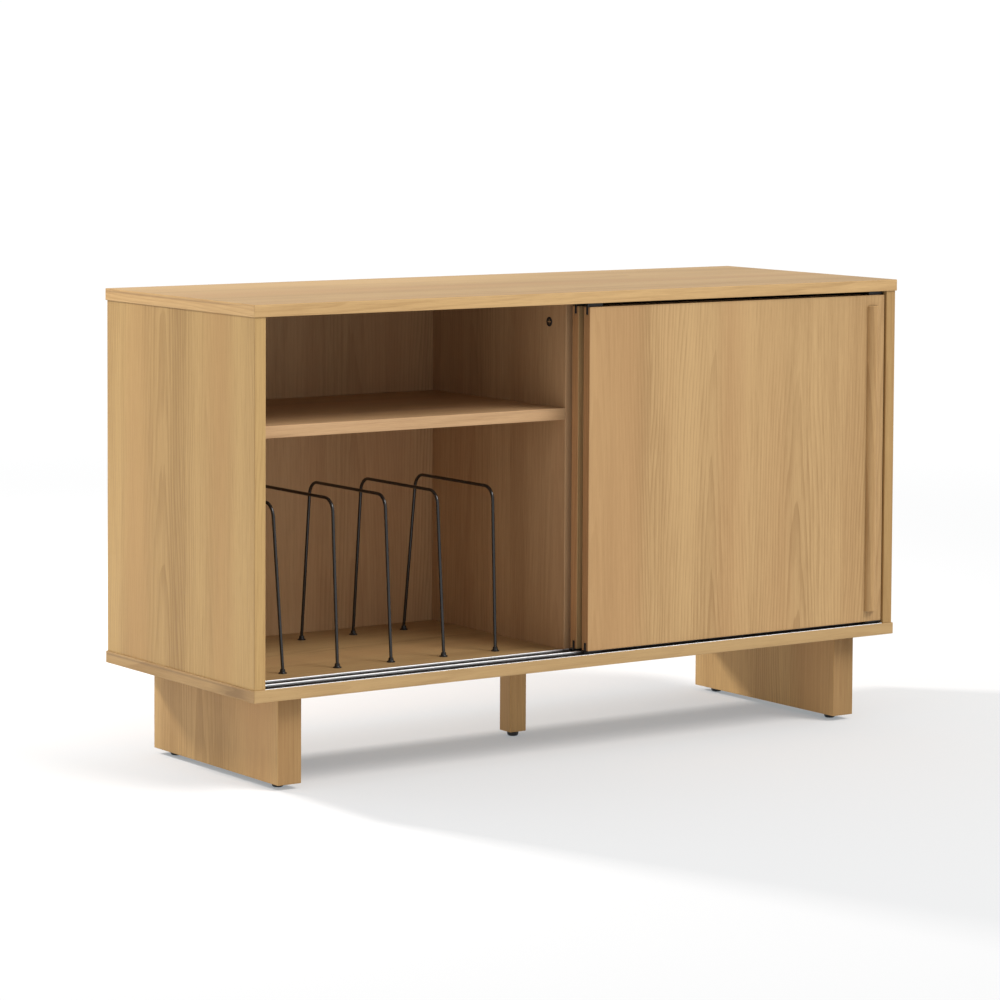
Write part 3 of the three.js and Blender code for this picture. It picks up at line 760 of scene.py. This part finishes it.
def board(node, axis, grain, ease, end_ease, under=(), over=(), finish=None):
    """A board with eased edges, its section carried along an axis."""
    own = sizes()
    low, high = span(node)
    across = [(axis + 1) % 3, (axis + 2) % 3]
    outline = board_outline(low[across], high[across], ease, under, over)
    surface = bar(outline, axis, low[axis], high[axis], end_ease, own.band, own.round_steps, [*under, *over])
    return place_piece(node, surface, grain, finish)


def long_piece(node, corners, radii, band, ease, ease_band, steps):
    """A moulded or drawn piece: a section across Y and Z, carried along X."""
    low, high = span(node)
    outline = Outline(corners, radii, band, sizes().round_steps)
    return place_piece(node, bar(outline, X, low[X], high[X], ease, ease_band, steps))


class PieceOperator:
    """What every operator of the cabinet shares: it can be undone."""

    bl_options = {"REGISTER", "UNDO"}


class CABINET_OT_top_and_bottom(PieceOperator, bpy.types.Operator):
    """Top and bottom panel, rebated for the tracks and grooved for the back panel"""

    bl_idname = "cabinet.top_and_bottom"
    bl_label = "Top and Bottom Panels"

    def execute(self, context):
        own = context.scene.cabinet_sizes
        back_low, back_high = span("back_panel")
        inner = span("right_side_panel")[0][X]
        groove_end = back_high[X] + PLAY
        for node, track, edge in (
            ("bottom_panel", "bottom_track", "over"),
            ("top_panel", "top_track", "under"),
        ):
            track_low, track_high = span(track)
            level = track_low[Z] if edge == "over" else track_high[Z]
            groove = back_low[Z] - PLAY if edge == "over" else back_high[Z] + PLAY
            pockets = [
                Pocket(track_low[Y] - PLAY, track_high[Y] + PLAY, level, [(-inner, inner)]),
                Pocket(back_low[Y] - PLAY, back_high[Y] + PLAY, groove, [(-groove_end, groove_end)]),
            ]
            board(node, X, X, own.board_ease, own.board_ease, **{edge: pockets})
        return {"FINISHED"}


class CABINET_OT_sides(PieceOperator, bpy.types.Operator):
    """Left and right side panel, grooved for the back panel"""

    bl_idname = "cabinet.sides"
    bl_label = "Side Panels"

    def execute(self, context):
        own = context.scene.cabinet_sizes
        back_low, back_high = span("back_panel")
        groove = (back_low[Y] - PLAY, back_high[Y] + PLAY)
        for node, edge in (("left_side_panel", 1), ("right_side_panel", -1)):
            low, high = span(node)
            floor = back_low[X] - PLAY if edge > 0 else back_high[X] + PLAY
            lip = high[X] if edge > 0 else low[X]
            recess = [(lip, groove[0]), (floor, groove[0]), (floor, groove[1]), (lip, groove[1])]
            corners = rectangle(low, high, X, Y)
            radii = [own.board_ease] * 4
            at = 2 if edge > 0 else 4
            corners[at:at] = recess if edge > 0 else recess[::-1]
            radii[at:at] = [0.25 * MM, 0.1 * MM, 0.1 * MM, 0.25 * MM]
            outline = Outline(corners, radii, own.band, own.round_steps)
            surface = bar(outline, Z, low[Z], high[Z], own.joint_ease, own.band, own.round_steps)
            place_piece(node, surface, Z)
        return {"FINISHED"}


class CABINET_OT_divider(PieceOperator, bpy.types.Operator):
    """Centre divider between the two bays"""

    bl_idname = "cabinet.divider"
    bl_label = "Centre Divider"

    def execute(self, context):
        own = context.scene.cabinet_sizes
        board("centre_divider", Z, Z, own.board_ease, own.joint_ease, finish="oak_inner_painted_light")
        return {"FINISHED"}


class CABINET_OT_back(PieceOperator, bpy.types.Operator):
    """Thin back panel, held in grooves all round"""

    bl_idname = "cabinet.back"
    bl_label = "Back Panel"

    def execute(self, context):
        own = context.scene.cabinet_sizes
        board("back_panel", Z, Z, own.joint_ease, own.joint_ease, finish="oak_inner_painted_light")
        return {"FINISHED"}


class CABINET_OT_shelves(PieceOperator, bpy.types.Operator):
    """A shelf in each bay"""

    bl_idname = "cabinet.shelves"
    bl_label = "Shelves"

    def execute(self, context):
        own = context.scene.cabinet_sizes
        for node in ("left_shelf", "right_shelf"):
            board(node, X, X, own.board_ease, own.joint_ease, finish="oak_inner_painted_light")
        return {"FINISHED"}


class CABINET_OT_shelf_pins(PieceOperator, bpy.types.Operator):
    """Round pins with domed ends that the shelves lie on"""

    bl_idname = "cabinet.shelf_pins"
    bl_label = "Shelf Pins"

    def execute(self, context):
        own = context.scene.cabinet_sizes
        for node in (n for n in BODY_OF if "_shelf_pin_" in n):
            low, high = span(node)
            radius, length = (high[Z] - low[Z]) / 2, high[X] - low[X]
            corners = [(0, 0), (radius, 0), (radius, length), (0, length)]
            outline = Outline(corners, [0, 0.3 * MM, 1.2 * MM, 0], 0.2 * MM, own.round_steps)
            # The domed end stands out of the board, towards the middle of the bay.
            middle = (low + high) / 2
            bay = np.sign(middle[X]) * span("right_shelf")[1][X] / 2
            facing = 1 if bay > middle[X] else -1
            centre = (low[X] if facing > 0 else high[X], middle[Y], middle[Z])
            place_piece(node, turned(outline, centre, X, own.turned_sides // 2, facing))
        return {"FINISHED"}


class CABINET_OT_cam_locks(PieceOperator, bpy.types.Operator):
    """Round cam locks with a crossed driver recess"""

    bl_idname = "cabinet.cam_locks"
    bl_label = "Cam Locks"

    def execute(self, context):
        for node in (n for n in BODY_OF if "cam_lock" in n):
            low, high = span(node)
            facing = -1 if node == "divider_cam_lock" or node.startswith("right") else 1
            place_piece(node, cam_lock(low, high, facing))
        return {"FINISHED"}


def cam_lock(low, high, facing):
    """The lock's face as a height over a square grid, bent to a disc, with its wall behind.

    A grid point (a, b) of the square from -1 to 1 goes to the disc's point
    (a * sqrt(1 - b^2 / 2), b * sqrt(1 - a^2 / 2)). The height is low inside either arm of the cross,
    low in a shallow ring, and falls away over the rounded rim. Paired grid lines make the steps.
    """
    middle = (low + high) / 2
    radius, thick = (high[Z] - low[Z]) / 2, high[X] - low[X]
    arm, half, slope, deep = 0.58, 0.13, 0.02, 1.4 * MM
    inner = [half - slope, half, arm - slope, arm]
    line = np.array([0.0, *inner, 0.70, 0.74, 0.80, 0.84, 0.92, 0.96, 0.985, 1.0])
    line = np.concatenate([-line[:0:-1], line])
    a, b = np.meshgrid(line, line, indexing="ij")
    across, up = a * np.sqrt(1 - b * b / 2), b * np.sqrt(1 - a * a / 2)
    from_middle = np.hypot(across, up)

    def inside(value, limit):
        return np.clip((limit - np.abs(value)) / slope, 0, 1)

    cross = np.maximum(inside(a, arm) * inside(b, half), inside(a, half) * inside(b, arm))
    ring = np.exp(-((from_middle - 0.77) / 0.035) ** 2)
    rim = np.clip((from_middle - 0.93) / 0.07, 0, 1)
    height = -deep * cross - 0.25 * MM * ring - 0.5 * MM * (1 - np.sqrt(1 - rim * rim * 0.99))
    size = len(line)
    face = np.stack([height, across * radius, up * radius], axis=-1).reshape(-1, 3)
    index = np.arange(size * size).reshape(size, size)
    border = np.concatenate([index[:-1, 0], index[-1, :-1], index[:0:-1, -1], index[0, :0:-1]])
    wall = face[border].copy()
    wall[:, 0] = -thick
    points = np.concatenate([face, wall])
    follows = np.roll(np.arange(len(border)), -1)
    behind = size * size + np.arange(len(border))
    sides = np.stack([border, border[follows], behind[follows], behind], axis=1).tolist()
    faces = grid_faces(size, size, wrap_columns=False) + sides + [behind.tolist()]
    outer = high[X] if facing > 0 else low[X]
    points = points * (facing, 1, 1) + (outer, middle[Y], middle[Z])
    # The rim and the shallow ring are marked for the edge mask, which paints them paler as a highlight.
    wear_and_highlight = np.concatenate([np.clip(rim + 0.4 * ring, 0, 1).ravel(), np.zeros(len(border))])
    return Surface(points, faces, wear_and_highlight)


def channel_edges():
    """Faces of the bottom track's three ribs, from front to back, read off the inserts between them."""
    low, high = span("bottom_track")
    outer_low, outer_high = span("outer_channel_insert")
    inner_low, inner_high = span("inner_channel_insert")
    return [
        (low[Y], outer_low[Y] - PLAY),
        (outer_high[Y] + PLAY, inner_low[Y] - PLAY),
        (inner_high[Y] + PLAY, high[Y]),
    ]


def run_lines():
    """Middle planes of the outer and inner door, where their tracks run."""
    return [sum(span(door))[Y] / 2 for door in ("outer_door", "inner_door")]


TRACK_LIP = 0.4 * MM  # the front rib is only a lip, this far above the bottom panel
RUN_HALF = 3 * MM  # half the width of a groove that a glide or guide runs in
FIN_HALF = 2.5 * MM  # half the width of the fin that runs in it


class CABINET_OT_bottom_track(PieceOperator, bpy.types.Operator):
    """Drawn aluminium bottom track with three bead-topped ribs"""

    bl_idname = "cabinet.bottom_track"
    bl_label = "Bottom Track"

    def execute(self, context):
        own = context.scene.cabinet_sizes
        low, high = span("bottom_track")
        floor = span("outer_channel_insert")[0][Z]
        lip = span("bottom_panel")[1][Z] + TRACK_LIP
        ribs = channel_edges()
        corners, radii = [(low[Y], low[Z]), (high[Y], low[Z])], [own.moulded_ease] * 2
        for rear_first, (front, rear) in enumerate(reversed(ribs)):
            bead = min(0.9 * MM, 0.45 * (rear - front))
            foot_rear = [] if rear_first == 0 else [(rear, floor)]
            foot_front = [] if rear_first == len(ribs) - 1 else [(front, floor)]
            top = high[Z] if foot_front else lip
            corners += foot_rear + [(rear, top), (front, top)] + foot_front
            radii += [0.4 * MM] * len(foot_rear) + [bead] * 2 + [0.4 * MM] * len(foot_front)
        long_piece("bottom_track", corners, radii, 0.15 * MM, 0.15 * MM, 0.1 * MM, 2)
        return {"FINISHED"}


class CABINET_OT_channel_inserts(PieceOperator, bpy.types.Operator):
    """Black plastic inserts in the bottom track, each with a groove for the door's glides"""

    bl_idname = "cabinet.channel_inserts"
    bl_label = "Channel Inserts"

    def execute(self, context):
        own = context.scene.cabinet_sizes
        for node, run in zip(("outer_channel_insert", "inner_channel_insert"), run_lines()):
            low, high = span(node)
            floor = low[Z] + 1 * MM
            left, right = run - RUN_HALF, run + RUN_HALF
            corners = [(low[Y], low[Z]), (high[Y], low[Z]), (high[Y], high[Z]), (right, high[Z]),
                       (right, floor), (left, floor), (left, high[Z]), (low[Y], high[Z])]
            ease = own.moulded_ease
            radii = [0.2 * MM, 0.2 * MM, ease, 2 * ease, ease, ease, 2 * ease, ease]
            long_piece(node, corners, radii, 0.3 * MM, 0.2 * MM, 0.15 * MM, 2)
        return {"FINISHED"}


class CABINET_OT_top_track(PieceOperator, bpy.types.Operator):
    """Black plastic top track, flush in the top panel, with a groove over each door"""

    bl_idname = "cabinet.top_track"
    bl_label = "Top Track"

    def execute(self, context):
        own = context.scene.cabinet_sizes
        low, high = span("top_track")
        roof = high[Z] - 2 * MM
        corners, radii = [(low[Y], low[Z])], [own.moulded_ease]
        for run in run_lines():
            left, right = run - RUN_HALF, run + RUN_HALF
            corners += [(left, low[Z]), (left, roof), (right, roof), (right, low[Z])]
            radii += [2 * own.moulded_ease, own.moulded_ease, own.moulded_ease, 2 * own.moulded_ease]
        corners += [(high[Y], low[Z]), (high[Y], high[Z]), (low[Y], high[Z])]
        radii += [own.moulded_ease] * 3
        long_piece("top_track", corners, radii, 0.3 * MM, 0.2 * MM, 0.15 * MM, 2)
        return {"FINISHED"}


class CABINET_OT_doors(PieceOperator, bpy.types.Operator):
    """Two sliding doors, pocketed at their corners for the glides and guides"""

    bl_idname = "cabinet.doors"
    bl_label = "Sliding Doors"

    def execute(self, context):
        own = context.scene.cabinet_sizes
        for node in ("outer_door", "inner_door"):
            low, high = span(node)
            middle = (low[Y] + high[Y]) / 2
            glide_low, glide_high = span(node + "_glide_left")
            guide_low, _ = span(node + "_guide_left")
            length = glide_high[X] - glide_low[X] + PLAY
            ends = [(low[X], low[X] + length), (high[X] - length, high[X])]
            wall = (middle - FIN_HALF - PLAY, middle + FIN_HALF + PLAY)
            under = Pocket(*wall, glide_high[Z] + PLAY, ends)
            over = Pocket(*wall, guide_low[Z] - PLAY, ends)
            board(node, X, Z, own.board_ease, own.board_ease, [under], [over])
        return {"FINISHED"}


class CABINET_OT_pulls(PieceOperator, bpy.types.Operator):
    """Half-round wooden pulls, flat against the doors"""

    bl_idname = "cabinet.pulls"
    bl_label = "Pulls"

    def execute(self, context):
        own = context.scene.cabinet_sizes
        for node in ("outer_door_pull", "inner_door_pull"):
            low, high = span(node)
            round_over = 0.998 * (high[Y] - low[Y])
            radii = [round_over, round_over, 0.02 * MM, 0.02 * MM]
            outline = Outline(rectangle(low, high, X, Y), radii, 0.01 * MM, 16)
            outline.wear_and_highlight[:] = 0
            surface = bar(outline, Z, low[Z], high[Z], own.pull_ease, own.band, own.round_steps)
            place_piece(node, surface, finish="oak_pulls")
        return {"FINISHED"}


class CABINET_OT_glides(PieceOperator, bpy.types.Operator):
    """Moulded glides under the doors' lower corners"""

    bl_idname = "cabinet.glides"
    bl_label = "Glides"

    def execute(self, context):
        own = context.scene.cabinet_sizes
        plate = 1.2 * MM
        for door in ("outer_door", "inner_door"):
            edge = span(door)[0][Z]
            for node in nodes_named(door + "_glide"):
                low, high = span(node)
                middle = (low[Y] + high[Y]) / 2
                left, right = middle - FIN_HALF, middle + FIN_HALF
                corners = [
                    (left, edge - plate), (left, low[Z]), (right, low[Z]), (right, edge - plate),
                    (high[Y], edge - plate), (high[Y], edge), (right, edge), (right, high[Z]),
                    (left, high[Z]), (left, edge), (low[Y], edge), (low[Y], edge - plate),
                ]
                ease = own.moulded_ease
                radii = [ease, 4 * ease, 4 * ease, ease, ease, ease, 0.05 * MM, ease,
                         ease, 0.05 * MM, ease, ease]
                long_piece(node, corners, radii, 0.2 * MM, ease, 0.15 * MM, 3)
        return {"FINISHED"}


class CABINET_OT_guides(PieceOperator, bpy.types.Operator):
    """Moulded guides in the doors' upper corners"""

    bl_idname = "cabinet.guides"
    bl_label = "Guides"

    def execute(self, context):
        own = context.scene.cabinet_sizes
        for door in ("outer_door", "inner_door"):
            for node in nodes_named(door + "_guide"):
                low, high = span(node)
                ease = own.moulded_ease
                radii = [ease, ease, 5 * ease, 5 * ease]
                long_piece(node, rectangle(low, high, Y, Z), radii, 0.3 * MM, 2 * ease, 0.2 * MM, 4)
        return {"FINISHED"}


class CABINET_OT_record_dividers(PieceOperator, bpy.types.Operator):
    """Bent wire record dividers, each leaning as its feet spring"""

    bl_idname = "cabinet.record_dividers"
    bl_label = "Record Dividers"

    def execute(self, context):
        own = context.scene.cabinet_sizes
        floor = span("bottom_panel")[1][Z]
        spigot = 7 * MM
        tuck = 21 * MM
        across = np.array([1.0, 0.0, 0.0])
        for number in range(1, len(nodes_named("record_divider_collar")) // 2 + 1):
            node = f"record_divider_{number}"
            low, high = span(node)
            foot = sum(span(f"record_divider_collar_{number}_front")) / 2
            wire = 2.5 * MM
            # The wire leans to the side on which its box reaches further from the foot.
            lean = (high[X] - foot[X] - wire) - (foot[X] - low[X] - wire)
            front, rear, crown = low[Y] + wire, high[Y] - wire, high[Z] - wire
            corners = [
                (foot[X], front, low[Z]),
                (foot[X], front, floor + spigot),
                (foot[X] + lean, front + tuck, crown),
                (foot[X] + lean, rear - tuck, crown),
                (foot[X], rear, floor + spigot),
                (foot[X], rear, low[Z]),
            ]
            path, tangent = bent_path(corners, own.wire_bend, 12)
            place_piece(node, tube(path, tangent, wire, 24, across))
        return {"FINISHED"}


class CABINET_OT_collars(PieceOperator, bpy.types.Operator):
    """Flared collars round the record dividers' feet"""

    bl_idname = "cabinet.collars"
    bl_label = "Divider Collars"

    def execute(self, context):
        own = context.scene.cabinet_sizes
        bore, neck = 2.6 * MM, 3.7 * MM
        for node in nodes_named("record_divider_collar"):
            low, high = span(node)
            middle = (low + high) / 2
            skirt, tall = (high[X] - low[X]) / 2, high[Z] - low[Z]
            corners = [(bore, 0), (skirt, 0), (skirt, 0.2 * tall), (0.66 * skirt, 0.34 * tall),
                       (neck, tall), (bore, tall)]
            radii = [0.1 * MM, 0.2 * MM, 0.5 * MM, 1.4 * MM, 0.3 * MM, 0.2 * MM]
            outline = Outline(corners, radii, 0.1 * MM, own.round_steps)
            centre = (middle[X], middle[Y], low[Z])
            place_piece(node, turned(outline, centre, Z, own.turned_sides // 2))
        return {"FINISHED"}


class CABINET_OT_legs(PieceOperator, bpy.types.Operator):
    """Two slab legs and the centre post"""

    bl_idname = "cabinet.legs"
    bl_label = "Legs"

    def execute(self, context):
        own = context.scene.cabinet_sizes
        for node in ("left_leg", "right_leg", "centre_leg"):
            board(node, Z, Z, own.leg_ease, own.board_ease)
        return {"FINISHED"}


class CABINET_OT_feet(PieceOperator, bpy.types.Operator):
    """Levelling feet, fluted round the rim for the fingers"""

    bl_idname = "cabinet.feet"
    bl_label = "Levelling Feet"

    def execute(self, context):
        own = context.scene.cabinet_sizes
        stem, pad = 3 * MM, 7.7 * MM
        for node in (n for n in BODY_OF if n.endswith("_foot")):
            low, high = span(node)
            middle = (low + high) / 2
            rim, tall = (high[X] - low[X]) / 2, high[Z] - low[Z]
            corners = [(0, 0), (0.76 * rim, 0), (0.92 * rim, 0.18 * pad), (rim, 0.5 * pad),
                       (rim, 0.8 * pad), (0.82 * rim, pad), (stem, pad), (stem, tall), (0, tall)]
            radii = [0, 0.5 * MM, 0.8 * MM, 1.0 * MM, 0.7 * MM, 0.5 * MM, 0.1 * MM, 0.6 * MM, 0]
            outline = Outline(corners, radii, 0.2 * MM, own.round_steps)
            surface = turned(
                outline, (middle[X], middle[Y], low[Z]), Z, 144,
                flutes=18, flute_depth=0.45 * MM, flute_span=(0.35 * pad, 0.9 * pad),
            )
            place_piece(node, surface)
        return {"FINISHED"}


# ---- Stage ----


WHITE = 1.02  # a little past white, so that the backdrop is even
FLOOR_FADE = (1.7, 5.0)  # distances between which the floor turns to plain white


def make_floor():
    """A wide pale disc at floor level, brightening evenly to white towards its rim.

    The paper's warm tint and its faint cool glow even out the warm light that the oak throws on it.
    """
    radius, rings, sides = 30.0, 24, 96
    reach = (radius * np.linspace(0, 1, rings) ** 2)[:, None]
    angle = np.linspace(0, 2 * math.pi, sides, endpoint=False)
    points = np.stack(np.broadcast_arrays(reach * np.cos(angle), reach * np.sin(angle), 0 * angle), axis=-1)
    mesh = bpy.data.meshes.new("studio_floor")
    mesh.from_pydata(points.reshape(-1, 3), [], grid_faces(rings, sides))
    floor = bpy.data.objects.new("studio_floor", mesh)
    bpy.context.scene.collection.objects.link(floor)
    shader = Shader("studio_floor")
    x, y, _ = shader.parts(shader.place())
    away = (x * x + y * y) ** 0.5
    paper = shader.add("BsdfDiffuse", inputs={"Color": opaque((0.556, 0.530, 0.509))})
    glow = shader.add("Emission", inputs={"Color": opaque((0.225, 0.262, 0.292)), "Strength": 1.0})
    paper = shader.add("AddShader", inputs={0: paper, 1: glow})
    white = shader.add("Emission", inputs={"Color": opaque((1, 1, 1)), "Strength": WHITE})
    surface = shader.add("MixShader", inputs={0: shader.step(away, *FLOOR_FADE), 1: paper, 2: white})
    shader.add("OutputMaterial", inputs={"Surface": surface})
    mesh.materials.append(shader.material)


def make_sky(strength):
    """An even white sky, shown as white behind the cabinet whatever light it gives."""
    world = bpy.data.worlds.new("studio_sky")
    bpy.context.scene.world = world
    world.use_nodes = True
    tree = world.node_tree
    tree.nodes.clear()
    seen = tree.nodes.new("ShaderNodeLightPath")
    light, backdrop = (tree.nodes.new("ShaderNodeBackground") for _ in range(2))
    light.inputs["Strength"].default_value = strength
    backdrop.inputs["Strength"].default_value = WHITE
    for background in (light, backdrop):
        background.inputs["Color"].default_value = (1, 1, 1, 1)
    choice = tree.nodes.new("ShaderNodeMixShader")
    output = tree.nodes.new("ShaderNodeOutputWorld")
    tree.links.new(seen.outputs["Is Camera Ray"], choice.inputs[0])
    tree.links.new(light.outputs[0], choice.inputs[1])
    tree.links.new(backdrop.outputs[0], choice.inputs[2])
    tree.links.new(choice.outputs[0], output.inputs["Surface"])


def aimed(place, target):
    """A matrix that stands at place and looks at target down its own -Z."""
    turn = (Vector(target) - Vector(place)).to_track_quat("-Z", "Y")
    return Matrix.Translation(place) @ turn.to_matrix().to_4x4()


def make_lights(studio):
    """A broad light from above the front right, and a lamp behind the left end for the floor shadow."""
    broad = bpy.data.lights.new("front_light", "SUN")
    broad.energy = studio.front_light
    broad.angle = math.radians(26)
    lamp = bpy.data.lights.new("back_light", "AREA")
    lamp.energy = studio.back_light
    lamp.size = 0.32
    for light, place, target in (
        (broad, (1.7, -3.0, 4.2), (0, 0, 0.3)),
        (lamp, (-1.25, 2.2, 1.55), (0, 0, 0.2)),
    ):
        holder = bpy.data.objects.new(light.name, light)
        holder.matrix_world = aimed(place, target)
        holder.visible_glossy = light is broad
        bpy.context.scene.collection.objects.link(holder)


def make_camera(studio):
    """The camera: level and looking to the back, then rolled, tilted and turned to its heading."""
    turn = (
        Matrix.Rotation(studio.camera_heading, 4, "Z")
        @ Matrix.Rotation(math.pi / 2 + studio.camera_pitch, 4, "X")
        @ Matrix.Rotation(studio.camera_roll, 4, "Z")
    )
    data = bpy.data.cameras.new("studio_camera")
    data.sensor_width = 36
    data.lens = studio.camera_lens
    data.shift_y = studio.camera_rise
    camera = bpy.data.objects.new("studio_camera", data)
    camera.matrix_world = Matrix.Translation(studio.camera_place) @ turn
    bpy.context.scene.collection.objects.link(camera)
    bpy.context.scene.camera = camera


class CABINET_OT_studio(PieceOperator, bpy.types.Operator):
    """Pale floor, soft lights and the camera"""

    bl_idname = "cabinet.studio"
    bl_label = "Studio"

    def execute(self, context):
        studio = context.scene.cabinet_studio
        context.scene.view_settings.view_transform = "Standard"
        make_camera(studio)
        make_sky(studio.sky)
        make_lights(studio)
        make_floor()
        return {"FINISHED"}


OPERATORS = (
    CABINET_OT_studio,
    CABINET_OT_top_and_bottom,
    CABINET_OT_sides,
    CABINET_OT_divider,
    CABINET_OT_back,
    CABINET_OT_shelves,
    CABINET_OT_shelf_pins,
    CABINET_OT_cam_locks,
    CABINET_OT_bottom_track,
    CABINET_OT_channel_inserts,
    CABINET_OT_top_track,
    CABINET_OT_doors,
    CABINET_OT_pulls,
    CABINET_OT_glides,
    CABINET_OT_guides,
    CABINET_OT_record_dividers,
    CABINET_OT_collars,
    CABINET_OT_legs,
    CABINET_OT_feet,
)


class CABINET_PT_pieces(bpy.types.Panel):
    """The cabinet's settings, and a button for each group of pieces"""

    bl_idname = "CABINET_PT_pieces"
    bl_label = "Record Cabinet"
    bl_space_type = "VIEW_3D"
    bl_region_type = "UI"
    bl_category = "Cabinet"

    def draw(self, context):
        scene = context.scene
        for title, group in (
            ("Sizes", scene.cabinet_sizes),
            ("Finishes", scene.cabinet_finishes),
            ("Studio", scene.cabinet_studio),
        ):
            box = self.layout.box()
            box.label(text=title)
            for name in type(group).__annotations__:
                box.prop(group, name)
        column = self.layout.column(align=True)
        for operator in OPERATORS:
            column.operator(operator.bl_idname)


GROUPS = {
    "cabinet_sizes": CabinetSizes,
    "cabinet_finishes": CabinetFinishes,
    "cabinet_studio": CabinetStudio,
}
CLASSES = (*GROUPS.values(), *OPERATORS, CABINET_PT_pieces)


def register():
    for item in CLASSES:
        bpy.utils.register_class(item)
    for name, group in GROUPS.items():
        setattr(bpy.types.Scene, name, PointerProperty(type=group))


def unregister():
    for name in GROUPS:
        delattr(bpy.types.Scene, name)
    for item in reversed(CLASSES):
        bpy.utils.unregister_class(item)


def main():
    register()
    for operator in OPERATORS:
        group, name = operator.bl_idname.split(".")
        getattr(getattr(bpy.ops, group), name)()
    bpy.context.view_layer.update()


if __name__ == "__main__":
    main()
